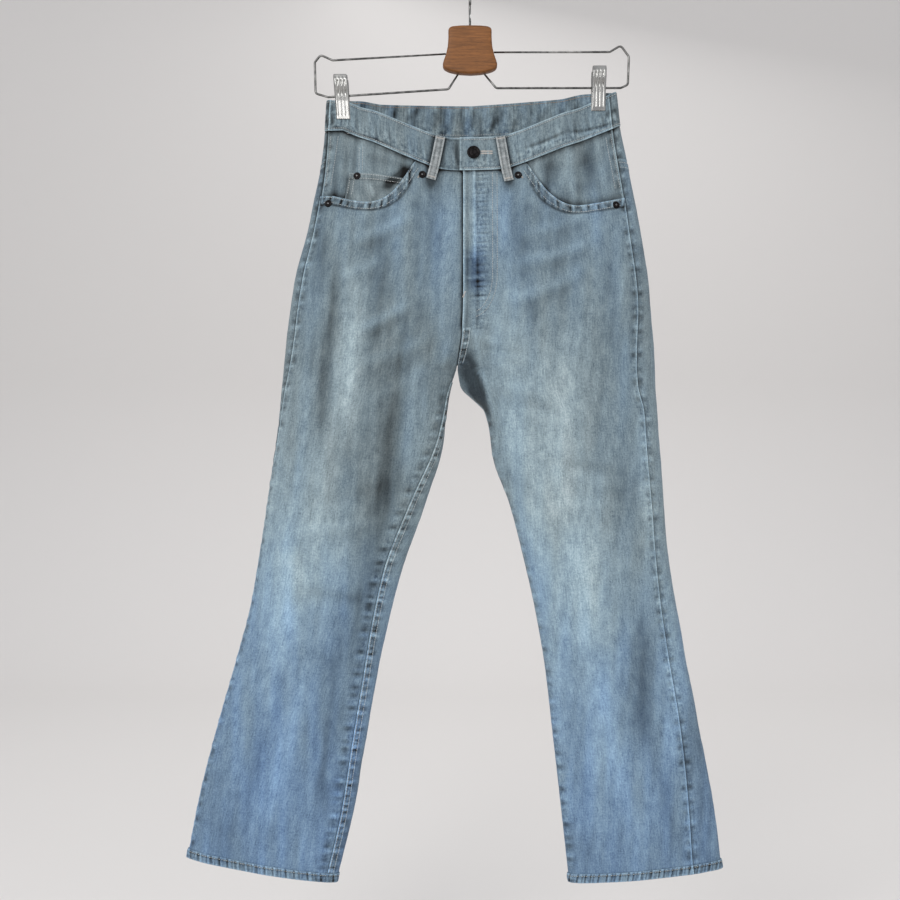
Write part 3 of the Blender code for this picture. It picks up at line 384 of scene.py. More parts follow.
class Half:
    """One half of the jeans as a surface of (s, v)."""

    def __init__(self, name, sign, side, leg, folds, flat_to, full_at):
        self.name = name
        self.sign = sign
        self.side = table(SIDE_COLUMNS, side)
        self.leg = table(LEG_COLUMNS, leg)
        self.trunk = table(TRUNK_COLUMNS, TRUNK)
        self.folds = [dict(zip(FOLD_COLUMNS, row)) for row in folds]
        self.flat_to = flat_to
        self.full_at = full_at

    def along_side(self, name, v):
        """Read a column of the outer fold's table."""
        return through(self.side["v"], self.side[name], v)

    def inside(self, on_leg, on_trunk, v):
        """Read a column of the leg's table up to the crotch, and one of the trunk's above it."""
        v = np.asarray(v, dtype=float)
        leg = through(self.leg["v"], self.leg[on_leg], np.minimum(v, V_CROTCH))
        trunk = through(self.trunk["v"], self.trunk[on_trunk], np.maximum(v, V_CROTCH))
        return np.where(v > V_CROTCH, trunk, leg)

    def outseam(self, v):
        """Where the outseam lies, as s."""
        return 1.0 - self.along_side("outseam", v)

    def inseam(self, v):
        """Where the inseam lies, as s, or 0 on the trunk, where the centre front takes over."""
        v = np.asarray(v, dtype=float)
        return through(self.leg["v"], self.leg["inseam"], np.minimum(v, V_CROTCH))

    def point(self, s, v):
        """Place on the outer face of the cloth.

        The section of a leg is a lens, widest in its middle, and that of the trunk is half an
        oval, widest at the centre.  Above the crotch one turns into the other.
        """
        s, v = together(s, v)
        at_back = (s < 0.0) | ((s > 1.0) & (s <= 2.0))
        t = np.where(s < 0.0, -s, np.where(s <= 1.0, s, np.abs(2.0 - s)))
        spread = ease(v, SPREAD_FROM, SPREAD_TO)
        across = (1.0 - spread) * (1.0 - np.cos(math.pi * t)) / 2.0
        across += spread * np.sin(math.pi * t / 2.0)
        rise = np.clip((v - V_CROTCH) / CROTCH_CURVE, 0.0, 1.0)
        near_centre = bell(across, CENTRE_REACH)
        trunk = near_centre * np.sqrt(1.0 - (1.0 - rise) ** 2)
        trunk += (1.0 - near_centre) * ease(v, TRUNK_FROM, TRUNK_TO)
        lens = 2.0 * np.sqrt(np.clip(across * (1.0 - across), 0.0, None))
        oval = np.sqrt(np.clip(1.0 - across * across, 0.0, None))
        height = (1.0 - trunk) * lens + trunk * oval
        depth = np.where(at_back, self.inside("back", "back", v), self.inside("front", "front", v))
        depth *= height
        in_first = ease(t, PINCH_S[0], PINCH_S[1])
        out_last = 1.0 - ease(t, PINCH_S[2], PINCH_S[3])
        pinch = in_first * out_last * through(PINCH_LEVELS, PINCH_FIRMNESS, np.maximum(v, 860.0))
        depth = depth * (1.0 - pinch) + PINCH_HALF * pinch
        for fold in self.folds:
            part = np.clip((v - fold["v_low"]) / (fold["v_high"] - fold["v_low"]), 0.0, 1.0)
            middle = fold["s_low"] + part * (fold["s_high"] - fold["s_low"])
            across_fold = (s - middle) / fold["width"]
            depth += fold["height"] * np.exp(-across_fold ** 2) * np.sin(math.pi * part) ** 2
        x_in = np.where(at_back, self.inside("x_in", "x_back", v), self.inside("x_in", "x_front", v))
        x_in += self.sign * SEAM_GAP / 2
        z_in = np.where(at_back, self.inside("z_in", "z_back", v), self.inside("z_in", "z_front", v))
        x = x_in + (self.along_side("x_out", v) - x_in) * across
        droop = ease(v, DROOP_FROM, DROOP_TO)
        ramp = (across - self.flat_to) / (self.full_at - self.flat_to)
        steep = np.clip((ramp + np.sqrt(ramp * ramp + RAMP_ROUND ** 2)) / 2.0, 0.0, 1.0)
        lift = np.where(at_back, across, (1.0 - droop) * across + droop * steep)
        z = z_in + (self.along_side("z_out", v) - z_in) * lift
        y = self.inside("y_in", "y_in", v) * (1.0 - across) + np.where(at_back, depth, -depth)
        return np.stack([x, y, z], axis=-1)

    def normal(self, s, v):
        """Outward direction at (s, v), from two short steps over the surface."""
        s, v = together(s, v)
        on_trunk = v > V_CROTCH
        low_s = np.where(on_trunk, np.clip(s - 0.004, 0.0, 2.0), s - 0.004)
        high_s = np.where(on_trunk, np.clip(s + 0.004, 0.0, 2.0), s + 0.004)
        low_v = np.where(on_trunk, np.maximum(v - 1.0, V_CROTCH + 0.2), v - 1.0)
        high_v = np.where(on_trunk, v + 1.0, np.minimum(v + 1.0, V_CROTCH))
        along = self.point(high_s, v) - self.point(low_s, v)
        up = self.point(s, np.minimum(high_v, V_TOP)) - self.point(s, np.maximum(low_v, 0.0))
        return unit(np.cross(along, up)) * self.sign

    def at(self, s, v, out=0.0):
        """Place that stands out from the cloth by a distance."""
        return self.point(s, v) + np.asarray(out, dtype=float)[..., None] * self.normal(s, v)

    def step(self, s, v, distance):
        """The change in s that moves a distance round the cloth."""
        length = np.linalg.norm(self.point(s + 0.005, v) - self.point(s - 0.005, v), axis=-1)
        return distance * 0.01 / np.maximum(length, 1e-6)

    def turn_at(self, across, v):
        """The part of the way round the front that stands at a share of its width."""
        spread = ease(v, SPREAD_FROM, SPREAD_TO)
        across = np.clip(across, 0.0, 1.0)
        t = (1.0 - spread) * np.arccos(1.0 - 2.0 * across) / math.pi
        t += spread * 2.0 * np.arcsin(across) / math.pi
        for _ in range(4):
            value = (1.0 - spread) * (1.0 - np.cos(math.pi * t)) / 2.0 + spread * np.sin(math.pi * t / 2.0)
            rate = (1.0 - spread) * math.pi * np.sin(math.pi * t) / 2.0
            rate += spread * math.pi * np.cos(math.pi * t / 2.0) / 2.0
            t = np.clip(t - (value - across) / np.maximum(rate, 0.2), 0.0, 1.0)
        return t

    def locate(self, x, z, back=False):
        """Find (s, v) of places given by their x and z as seen from the front."""
        x, z = together(x, z)
        v = np.full(x.shape, V_WAIST)
        for _ in range(26):
            first = self.inside("x_in", "x_back" if back else "x_front", v) + self.sign * SEAM_GAP / 2
            t = self.turn_at((x - first) / (self.along_side("x_out", v) - first), v)
            s = 2.0 - t if back else t
            v = np.clip(v + (z - self.point(s, v)[..., 2]), 0.0, V_TOP)
        return s, v


LEFT = Half("left", -1.0, LEFT_SIDE, LEFT_LEG, LEFT_FOLDS, 0.17, 0.87)
RIGHT = Half("right", 1.0, RIGHT_SIDE, RIGHT_LEG, RIGHT_FOLDS, 0.27, 1.0)
HALVES = (LEFT, RIGHT)


def front_edges(half, v):
    """The s values of a front panel's inseam or centre edge and its outseam edge."""
    start = half.inseam(v)
    end = half.outseam(v)
    return start + half.step(start, v, SEAM_GAP / 2), end - half.step(end, v, SEAM_GAP / 2)


def back_edges(half, v):
    """The s values of a back panel's outseam edge and its inseam or centre edge."""
    start = half.outseam(v)
    end = 2.0 + half.inseam(v)
    return start + half.step(start, v, SEAM_GAP / 2), end - half.step(end, v, SEAM_GAP / 2)


def trunk_safe(s, v):
    """Keep s between the centre front and the centre back above the crotch."""
    return np.where(v > V_CROTCH, np.clip(s, 0.0, 2.0), s)


def mouth_level(half, s):
    """The level of the pocket mouth at s: a curve that falls from the waistband and flattens."""
    start = MOUTH_START[half.name]
    end = float(half.outseam(MOUTH_LEVEL[half.name]))
    part = np.clip((s - start) / (end - start), 0.0, 1.0)
    drop = (1.0 - part ** MOUTH_ROUND) ** MOUTH_DROP
    low = MOUTH_LEVEL[half.name]
    return low + (V_WAIST - SEAM_GAP / 2 - low) * drop


def yoke_level(across):
    """The level of the yoke seam, from the outseam to the centre back."""
    return YOKE_SIDE + (YOKE_CENTRE - YOKE_SIDE) * across


def front_top(half, across):
    """The upper edge of a front panel: the waistband seam, then the pocket mouth."""
    start, end = front_edges(half, np.full(len(across), PANEL_TOP_V))
    return mouth_level(half, start + (end - start) * across)


# Strokes in the front view: both ends (x, z), the half width, what the stroke adds and
# how far its middle bows out, with no zeros at the end.  They add light and blue: some are fades of
# the wash, and many are painted shading: painted shadows of the belt loops, of the fly's overlap,
# in the pocket mouths, on the facings' folds, between the legs and down the right leg's outer side,
# painted dark crease lines on the waistband, and painted highlights on crease ridges with painted
# shade in their troughs.
FADES_AND_SHADING = {
    "left": (
        (-228, -480, -262, -1054, 28, 0.062), (-108, -610, -150, -847, 22, -0.065),
        (-172, -840, -200, -1090, 20, -0.022), (-119, -262, -114, -470, 18, -0.05, 0.05),
        (-196, -254, -197, -448, 12, -0.028, 0.05), (-36.5, -176, -52.5, -266, 7.7, -0.38, 0.1),
        (-18, -196, -16, -244, 4, -0.11), (-108, -625, -127, -800, 20, -0.045),
        (-150, -780, -172, -960, 22, -0.028), (-80, -440, -80, -660, 13, 0, 0.25),
        (-235, -725, -212, -810, 26, 0, -0.22), (-199, -331, -233, -744, 11.6, 0, 0.2, -2.6),
        (-171, -344, -197, -605, 9, -0.09, -0.05), (-140, -368, -164, -609, 15.5, 0.07, -0.15),
        (-88, -424, -115, -712, 18, -0.075, -0.1), (-42, -260, -36, -500, 16.8, 0.022, 0.28),
        (-155, -435, -220, -854, 25.8, 0.055, -0.08), (-168, -378, -112, -350, 6.5, 0.045, 0, 3),
        (-150, -448, -76, -408, 6, 0.055, 0.05, 3), (-148, -462, -74, -422, 7, -0.04, 0, 3),
        (-160, -330, -70, -294, 6.5, 0.045, 0, 4), (-158, -344, -68, -308, 7, -0.025, 0, 4),
        (-72, -262, -64, -345, 12, -0.035), (-150, -492, -46, -450, 7, 0.03, 0.05, 4),
        (-140, -540, -40, -486, 7, 0.03, 0, 4), (-181, -299, -199, -409, 7.7, -0.03),
        (-220, -744, -246, -847, 18.1, 0.06, -0.05), (-162, -744, -181, -925, 10.3, -0.04, 0.05),
        (-207, -873, -271, -1105, 12.9, 0.03, 0.05), (-233, -860, -297, -1092, 9, -0.035, 0.1),
        (-175, -925, -207, -1118, 7.7, -0.03, 0.1), (-284, -925, -329, -1118, 11.6, 0.035),
        (-220, -667, -91, -641, 8, -0.015, 0, 5.2), (-233, -706, -117, -693, 6.5, 0.03),
        (-220, -783, -130, -796, 6.5, -0.03), (-186, -176, -148, -189, 2.2, -0.12),
        (-152, -187, -100, -209, 2.2, -0.12), (-152, -192, -98, -214, 2.8, 0.07),
        (-178, -196, -178, -290, 5, -0.05, 0.1), (-159, -238, -162, -288, 3, -0.12),
        (-150, -205, -152, -240, 3, -0.035), (-127, -258, -119, -278, 4.5, -0.05),
        (-132, -255, -124, -275, 3.5, 0.09), (-116, -266, -76, -232, 6, -0.22),
        (-123, -305, -155, -977, 15, -0.04), (-200, -440, -203, -600, 11, -0.04),
        (-46, -225, -46, -370, 12, -0.04, 0.05), (-145, -215, -70, -240, 5, -0.03),
    ),
    "right": (
        (36, -380, 62, -640, 22, 0.075, 0.05), (77, -500, 103, -960, 24, 0.055),
        (150, -680, 165, -1130, 28, 0.08), (192, -570, 242, -976, 17, -0.045, 0.05),
        (265, -900, 303, -1118, 18, -0.035), (37, -176, 52, -266, 7.7, -0.38, 0.1),
        (195, -400, 215, -720, 22, 0, 0.17), (262, -860, 276, -1000, 13, 0.09),
        (-11, -462, 28, -572, 9, -0.19, 0.2), (-14, -480, 8, -552, 8, -0.12, 0.2),
        (4, -430, 13, -505, 3, 0.08), (12, -490, 34, -565, 3.6, 0.12),
        (58, -321, 167, -286, 7, 0.04, 0, 5), (58, -335, 167, -300, 7, -0.02, 0, 5),
        (51, -360, 167, -325, 7, 0.045, 0, 5), (51, -374, 167, -340, 7, -0.02, 0, 5),
        (45, -409, 154, -362, 7.5, 0.045, 0, 5), (45, -424, 154, -378, 7, -0.02, 0, 5),
        (38, -454, 130, -415, 8, 0.025, 0, 5), (119, -454, 123, -744, 27.1, 0.075, -0.2, 2.6),
        (131, -712, 172, -873, 21.9, 0.075, -0.15), (46, -570, 96, -860, 12.9, -0.02, 0.25),
        (-3, -240, -3, -362, 6.5, 0.02, -0.3), (16, -254, 16, -345, 10.3, -0.03, 0.05),
        (6, -338, 7, -404, 14.5, -0.15, 0.5), (-9, -381, 24, -379, 1.7, 0.12, -0.3),
        (-9, -353, 22, -352, 1.6, 0.1, -0.2), (-12, -484, 16, -508, 1.8, 0.1),
        (-12, -494, 16, -524, 1.8, 0.08), (66, -370, 74, -570, 14, 0.03),
        (148, -985, 150, -1120, 15, 0.035), (186, -840, 190, -960, 13, 0.03),
        (222, -830, 232, -1000, 13, -0.06), (226, -560, 230, -720, 10, 0.05),
        (186, -560, 190, -700, 12, -0.03), (-3, -387, 28, -384, 2.6, -0.02),
        (-6, -405, 23, -402, 2.6, -0.06), (38, -267, 54, -447, 10.3, 0.03, 0.1),
        (58, -280, 83, -467, 9, -0.035, 0.15), (174, -299, 190, -538, 11.6, -0.03, 0.1),
        (149, -293, 116, -447, 9, -0.03), (96, -299, 77, -422, 10.3, 0.03),
        (193, -331, 208, -538, 6.5, 0.03), (0, -447, 38, -467, 5.2, 0.05),
        (10, -467, 77, -476, 5.2, -0.04), (19, -486, 90, -502, 5.2, 0.04),
        (38, -531, 116, -551, 6.5, -0.035), (90, -615, 193, -628, 6.5, -0.03),
        (96, -667, 206, -673, 6.5, 0.03), (116, -796, 206, -783, 6.5, -0.02),
        (167, -899, 219, -1118, 12.9, 0.03), (135, -873, 154, -1131, 9, -0.03, 0.1),
        (219, -925, 270, -1131, 10.3, -0.03, 0.05), (116, -925, 135, -1131, 6.5, 0.03),
        (245, -925, 303, -1131, 7.7, 0.03), (192, -171, 123, -187, 2.2, -0.12, 0, -2),
        (127, -186, 68, -211, 2.2, -0.12, 0, -2), (192, -176, 123, -192, 2.8, 0.07, 0, -2),
        (127, -191, 68, -216, 2.8, 0.07, 0, -2), (106, -215, 100, -268, 7, -0.1, 0.05),
        (153, -200, 160, -275, 9, -0.1, 0.05), (130, -210, 126, -268, 9, 0.07, -0.1),
        (185, -205, 190, -270, 6, 0.03, -0.05), (80, -235, 180, -215, 5, -0.02, 0, 6),
    ),
}
# Creases add a height in millimetres, which is below zero for a trough
CREASES = {
    "left": (
        (-171, -344, -197, -605, 7.7, -1.1), (-184, -344, -209, -589, 6.5, 0.7),
        (-140, -368, -164, -609, 11.6, 1.2), (-88, -424, -115, -712, 14, -0.7),
        (-65, -447, -86, -693, 9, 0.8), (-150, -446, -76, -406, 7, 0.55, 3),
        (-148, -462, -74, -422, 7, -0.5, 3), (-168, -376, -112, -348, 7, 0.5, 3),
        (-166, -392, -110, -364, 7, -0.45, 3), (-160, -328, -70, -292, 7, 0.5, 4),
        (-158, -344, -68, -308, 7, -0.5, 4), (-150, -490, -46, -448, 8, 0.5, 4),
        (-148, -508, -44, -466, 8, -0.45, 4), (-117, -525, -44, -489, 6.5, 0.7),
        (-162, -202, -153, -318, 6.5, -0.7), (-153, -196, -110, -299, 7.7, 0.6),
        (-220, -667, -91, -638, 9, -0.45, 5.2), (-225, -687, -93, -661, 9, 0.4, 5.2),
        (-233, -725, -117, -706, 9, -0.6), (-220, -785, -127, -798, 9, -0.7),
        (-225, -804, -135, -819, 9, 0.7), (-239, -860, -155, -884, 10.3, -0.6),
        (-233, -860, -297, -1092, 10.3, -0.8), (-204, -867, -269, -1105, 10.3, 0.8),
        (-175, -925, -204, -1118, 9, -0.7), (-329, -1002, -342, -1118, 10.3, 0.7),
        (-284, -951, -269, -1118, 11.6, -0.5),
    ),
    "right": (
        (149, -215, 110, -409, 9, -1), (167, -215, 154, -409, 9, 0.9), (131, -215, 90, -331, 7.7, 0.6),
        (38, -280, 59, -454, 9, 0.7), (59, -286, 85, -467, 9, -0.9), (-4, -492, 18, -542, 9, -1.6),
        (51, -360, 167, -325, 7, 0.5, 5), (51, -374, 167, -340, 7, -0.25, 5),
        (45, -409, 154, -362, 7.5, 0.45, 5), (45, -424, 154, -378, 7, -0.25, 5),
        (12, -473, 90, -489, 6.5, 0.8), (18, -486, 96, -504, 6.5, -0.8), (38, -531, 116, -551, 7.7, -0.7),
        (45, -517, 123, -535, 7.7, 0.7), (119, -454, 123, -744, 18.1, 0.9, 2.6),
        (167, -447, 183, -744, 11.6, -0.9), (90, -512, 100, -744, 10.3, -0.6),
        (90, -615, 196, -631, 7.7, -0.7), (90, -632, 199, -649, 7.7, 0.7),
        (100, -693, 208, -703, 7.7, -0.6), (103, -783, 219, -764, 9, -0.7), (105, -801, 225, -783, 9, 0.7),
        (116, -860, 232, -847, 10.3, -0.5), (135, -873, 154, -1131, 10.3, -0.8),
        (167, -899, 219, -1118, 12.9, 0.8), (219, -925, 273, -1131, 10.3, -0.8),
        (247, -925, 304, -1131, 10.3, 0.7), (110, -912, 131, -1131, 7.7, 0.6),
        (190, -847, 219, -951, 9, -0.6),
    ),
}
# The same behind, with x counted outwards from the middle: fades, painted shadows of the belt
# loops and painted light and shade on the creases, then creases
FADES_AND_SHADING_BEHIND = (
    (0.5, -126, 0.5, -212, 7.7, -0.32), (109, -126, 113, -212, 7.7, -0.32),
    (120, -330, 125, -470, 60, 0.035, -0.1), (60, -430, 190, -445, 16, 0.03, -0.05, 12),
    (70, -505, 150, -530, 7, 0.035, 0, 6), (75, -520, 155, -546, 6, -0.03, 0, 6),
    (110, -700, 215, -690, 8, 0.035, 0, 6), (112, -716, 215, -708, 7, -0.03, 0, 6),
    (118, -735, 222, -730, 8, 0.03, 0, 5), (122, -752, 222, -750, 7, -0.025, 0, 5),
    (130, -560, 150, -690, 26, 0.03, -0.12), (180, -560, 200, -900, 12, -0.025, 0.1),
    (150, -800, 190, -1120, 20, 0.025, 0.05), (215, -850, 260, -1120, 14, -0.02, 0.1),
)
CREASES_BEHIND = (
    (70, -505, 150, -530, 8, 0.9, 6), (75, -520, 155, -546, 8, -1, 6), (80, -540, 190, -585, 9, 0.8, 8),
    (90, -562, 195, -610, 9, -0.8, 8), (110, -700, 215, -690, 9, 1, 6), (112, -716, 215, -708, 9, -1.1, 6),
    (118, -735, 222, -730, 9, 0.9, 5), (122, -752, 222, -750, 9, -0.9, 5),
    (120, -770, 215, -776, 8, 0.7, 5), (180, -240, 150, -420, 12, -0.9), (196, -240, 178, -440, 11, 0.8),
    (40, -300, 30, -420, 9, 0.6), (150, -620, 170, -690, 10, -0.7), (135, -800, 190, -1100, 14, 1),
    (165, -790, 230, -1110, 13, -1), (205, -800, 262, -1100, 13, 0.8), (150, -900, 160, -1130, 10, -0.7),
    (225, -960, 300, -1120, 11, -0.6),
)


# Cloth tone by level v: how light it is (green's share of reflected light) and how blue
TONE = {
    "left": (
        (0, 0.202, 1.1), (120, 0.206, 1.07), (300, 0.234, 0.88), (400, 0.255, 0.7), (470, 0.237, 0.42),
        (560, 0.208, 0.32), (680, 0.202, 0.33), (800, 0.199, 0.5), (900, 0.199, 0.56), (976, 0.192, 0.4),
        (1017, 0.188, 0.36),
    ),
    "right": (
        (0, 0.206, 1.02), (120, 0.211, 1), (300, 0.241, 0.78), (400, 0.261, 0.52), (480, 0.259, 0.34),
        (600, 0.228, 0.36), (720, 0.21, 0.42), (850, 0.202, 0.62), (930, 0.202, 0.64), (976, 0.197, 0.4),
        (1017, 0.197, 0.34),
    ),
}
# The same behind: a pale seat and a pale back of the thigh
TONE_BEHIND = (
    (0, 0.208, 1.1), (200, 0.232, 0.92), (380, 0.264, 0.72), (450, 0.247, 0.62), (560, 0.262, 0.45),
    (700, 0.272, 0.36), (820, 0.276, 0.48), (905, 0.236, 0.56), (976, 0.22, 0.42), (1017, 0.212, 0.38),
)


def ripples(place, length, seed):
    """Smooth unevenness in space: a sum of sine waves in random directions, about as long as length."""
    draw = np.random.default_rng(seed)
    total = np.zeros(place.shape[:-1])
    for _ in range(12):
        direction = draw.normal(size=3)
        direction = direction / np.linalg.norm(direction) / (length * draw.uniform(0.7, 1.5))
        total += np.sin(2.0 * math.pi * (place @ direction) + draw.uniform(0.0, 2.0 * math.pi))
    return total / math.sqrt(6.0)


def pucker(along, length, seed):
    """Uneven waves beside a seam: three sines along it whose lengths don't divide each other."""
    draw = np.random.default_rng(seed)
    total = np.zeros(np.shape(along))
    for share, weight in ((1.0, 0.8), (0.61, 0.55), (1.73, 0.6)):
        drift = 0.9 * np.sin(along / (length * 4.3) + draw.uniform(0.0, 6.0))
        turn = 2.0 * math.pi * along / (length * share) + drift + draw.uniform(0.0, 6.0)
        total += weight * np.sin(turn)
    return total


def strokes(rows, x, z, effects):
    """Sums of soft strokes: each is a bell across its bowed line and fades at both ends."""
    total = np.zeros((effects,) + np.shape(x))
    for row in rows:
        row = np.array(row + (0.0,) * (6 + effects - len(row)))
        along = np.array([row[2] - row[0], row[3] - row[1]])
        length = np.hypot(*along)
        along = along / length
        part = ((x - row[0]) * along[0] + (z - row[1]) * along[1]) / length
        aside = (x - row[0]) * along[1] - (z - row[1]) * along[0]
        aside = aside - row[-1] * 4.0 * part * (1.0 - part)
        weight = bell(aside, row[4]) * ease(part, -0.08, 0.28) * (1.0 - ease(part, 0.7, 1.08))
        total += weight * row[5:-1].reshape((-1,) + (1,) * np.ndim(x))
    return total


def seam_distances(half, s, v, place):
    """Millimetres to the outseam, and to the inseam or the centre seam."""
    s, v = np.broadcast_arrays(s, v)
    outer = np.linalg.norm(place - half.point(half.outseam(v), v), axis=-1)
    inner_s = np.where((v > V_CROTCH) & (s > 1.0), 2.0, half.inseam(v))
    inner = np.linalg.norm(place - half.point(inner_s, v), axis=-1)
    return outer, inner


def relief(half, s, v, place, out):
    """How far the worn cloth stands off its smooth form: unevenness, hand-placed creases and seam puckers."""
    facing = ease(np.abs(out[..., 1]), 0.15, 0.6)
    behind = out[..., 1] > 0.0
    x, z = place[..., 0], place[..., 2]
    outer, inner = seam_distances(half, s, v, place)
    calm = (0.25 + 0.75 * ease(np.minimum(outer, inner), 2.0, 18.0)) * (1.0 - 0.7 * ease(v, 880.0, 960.0))
    hung = place * (1.0, 1.0, 0.4)
    soft = 0.5 * ripples(hung, 80.0, 11) + 0.22 * ripples(hung, 33.0, 12) + 0.07 * ripples(place, 13.0, 13)
    front = strokes(CREASES[half.name], x, z, 1)[0]
    back = strokes(CREASES_BEHIND, x * half.sign, z, 1)[0]
    height = calm * soft + facing * np.where(behind, back, front)
    beside = bell(outer, 4.0, 4.5)
    height += 0.34 * beside * pucker(v, 17.0, 21 + int(half.sign)) * (1.0 - ease(v, 850.0, 900.0))
    height += 0.5 * bell(outer, 2.2) * np.where(s < half.outseam(v), 1.0, -0.5)
    beside = bell(inner, 7.0, 8.0) * (1.0 - ease(v, 610.0, 650.0))
    return height + 0.24 * beside * pucker(v, 15.0, 31 + int(half.sign))


class Skin:
    """A grid of places on the worn cloth, with their outward directions and dye."""

    def __init__(self, half, s, v):
        self.half = half
        self.s, self.v = together(s, v)
        self.place = half.point(self.s, self.v)
        self.out = half.normal(self.s, self.v)
        self.height = relief(half, self.s, self.v, self.place, self.out)

    def off(self, distance):
        """Places that stand a distance off the worn cloth."""
        return self.place + (self.height + distance)[..., None] * self.out

    def colouring(self):
        """Light, blue and pucker of the washed cloth: its level's tone, placed fades, and pale ridges."""
        behind = self.out[..., 1] > 0.0
        facing = ease(np.abs(self.out[..., 1]), 0.05, 0.4)
        x, z = self.place[..., 0], self.place[..., 2]
        front_tone = np.array(TONE[self.half.name], dtype=float).T
        back_tone = np.array(TONE_BEHIND, dtype=float).T
        values = []
        front = strokes(FADES_AND_SHADING[self.half.name], x, z, 2)
        back = strokes(FADES_AND_SHADING_BEHIND, x * self.half.sign, z, 2)
        share = np.where(behind, facing * 0.5 + 0.5, 0.5 - 0.5 * facing)
        for index in (0, 1):
            tone = (1.0 - share) * np.interp(self.v, front_tone[0], front_tone[index + 1])
            tone = tone + share * np.interp(self.v, back_tone[0], back_tone[index + 1])
            values.append(tone + facing * np.where(behind, back[index], front[index]))
        light, blue = values
        warp = self.place * (1.0, 1.0, 0.16)
        fine = ripples(warp, 9.0, 41) * 0.010 + ripples(warp, 30.0, 42) * 0.009
        # Light rises with the relief: partly pale worn ridges, partly painted shade in the troughs
        light += fine + 0.024 * self.height
        outer, inner = seam_distances(self.half, self.s, self.v, self.place)
        # Puckers beside the outseam: lighter ridges and a darker band, partly wear and partly painted shade
        spots = pucker(self.v, 17.0, 21 + int(self.half.sign))
        beside = bell(outer, 3.6, 4.5)
        light += beside * (0.05 * spots - 0.035)
        # The outseam's raised front edge is worn pale, and a painted shadow lies in the seam behind it
        front_side = self.s < self.half.outseam(self.v)
        light += np.where(front_side, 0.20, -0.13) * bell(outer, np.where(front_side, 1.5, 2.2))
        # Puckers beside the inseam: partly wear, partly painted shade
        spots = pucker(self.v, 15.0, 31 + int(self.half.sign))
        beside = bell(inner, 6.0, 8.0) * (1.0 - ease(self.v, 610.0, 650.0))
        light += beside * (0.06 * spots - 0.035)
        # A painted shadow along the edge of the felled inseam on the back
        light = light - 0.10 * bell(inner - FELL_WIDTH, 2.4, 1.5) * behind * (self.v < 640.0)
        worn = 0.55 * bell(outer, 4.0, 4.0)
        worn = np.maximum(worn, 0.5 * bell(inner, 6.0, 6.0) * (self.v < 650.0))
        return np.clip(light, 0.04, 0.6), blue + 0.055 * ripples(warp, 24.0, 43), worn


def spaced(width, step, fine):
    """Distances across a piece: fixed fine steps beside both edges and even ones between them."""
    fine = np.array(fine)
    last = fine[-1]
    count = max(2, int(round((float(np.mean(width)) - 2.0 * last) / step)))
    middle = last + (width - 2.0 * last) * np.linspace(0.0, 1.0, count + 1)[None, 1:-1]
    start = np.repeat(fine[None, :], len(width), axis=0)
    return np.concatenate([start, middle, width - start[:, ::-1]], axis=1)


FINE_STEPS = (0.0, 0.7, 1.5, 2.5, 3.8, 5.6, 8.0)


def lay_out(half, edges, nominal, rows_of, step, span=(0.0, 1.0), fine=FINE_STEPS):
    """Grids of s and v, and of the millimetres from both side edges, for a piece between two seams.

    Columns are even in length along the cloth at each nominal level, and rows_of gives every
    row's levels from the columns' shares of the width at the top.
    """
    level = np.asarray(nominal, dtype=float)[:, None]
    start, end = edges(half, level)
    shares = np.linspace(span[0], span[1], 121)
    line = half.point(trunk_safe(start + (end - start) * shares, level), level)
    run = np.cumsum(np.linalg.norm(np.diff(line, axis=1), axis=-1), axis=1)
    run = np.concatenate([np.zeros((len(level), 1)), run], axis=1)
    distance = spaced(run[:, -1:], step, fine)
    share = np.array([np.interp(d, r, shares) for d, r in zip(distance, run)])
    v = rows_of(share[-1])
    start, end = edges(half, v)
    s = trunk_safe(start + (end - start) * share, v)
    return s, v, distance, run[:, -1:] - distance


def build_mesh(name, points, faces):
    """A mesh object at the origin from places in millimetres, with its faces turned outwards."""
    points = np.asarray(points, dtype=float).reshape(-1, 3) * MM
    total = 0.0
    for corner in (2, 3):
        usable = [face for face in faces if len(face) > corner]
        trio = np.array([(face[0], face[corner - 1], face[corner]) for face in usable])
        if len(trio):
            a, b, c = points[trio[:, 0]], points[trio[:, 1]], points[trio[:, 2]]
            total += float(np.sum(a * np.cross(b, c)))
    if total < 0.0:
        faces = [face[::-1] for face in faces]
    mesh = bpy.data.meshes.new(name)
    mesh.from_pydata(points.tolist(), [], faces)
    mesh.shade_smooth()
    obj = bpy.data.objects.new(name, mesh)
    bpy.context.scene.collection.objects.link(obj)
    return obj


def dress(obj, material, nodes=()):
    """Give a piece its material, its slot, its body and the CAD nodes it stands for."""
    obj.data.materials.append(material)
    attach(obj, "root")
    if nodes:
        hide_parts(*nodes)
    return obj


def write_colouring(obj, uv, light, blue, worn):
    """Store cloth coordinates in millimetres as a UV map, and light, blue and pucker as an attribute."""
    mesh = obj.data
    corners = np.zeros(len(mesh.loops), dtype=np.int32)
    mesh.loops.foreach_get("vertex_index", corners)
    layer = mesh.uv_layers.new(name="cloth")
    layer.data.foreach_set("uv", np.asarray(uv, dtype=np.float32)[corners].ravel())
    wash = mesh.attributes.new("wash", "FLOAT_COLOR", "POINT")
    colour = np.zeros((len(mesh.vertices), 4), dtype=np.float32)
    colour[:, 0] = light
    colour[:, 1] = blue
    colour[:, 2] = worn
    colour[:, 3] = 1.0
    wash.data.foreach_set("color", colour.ravel())


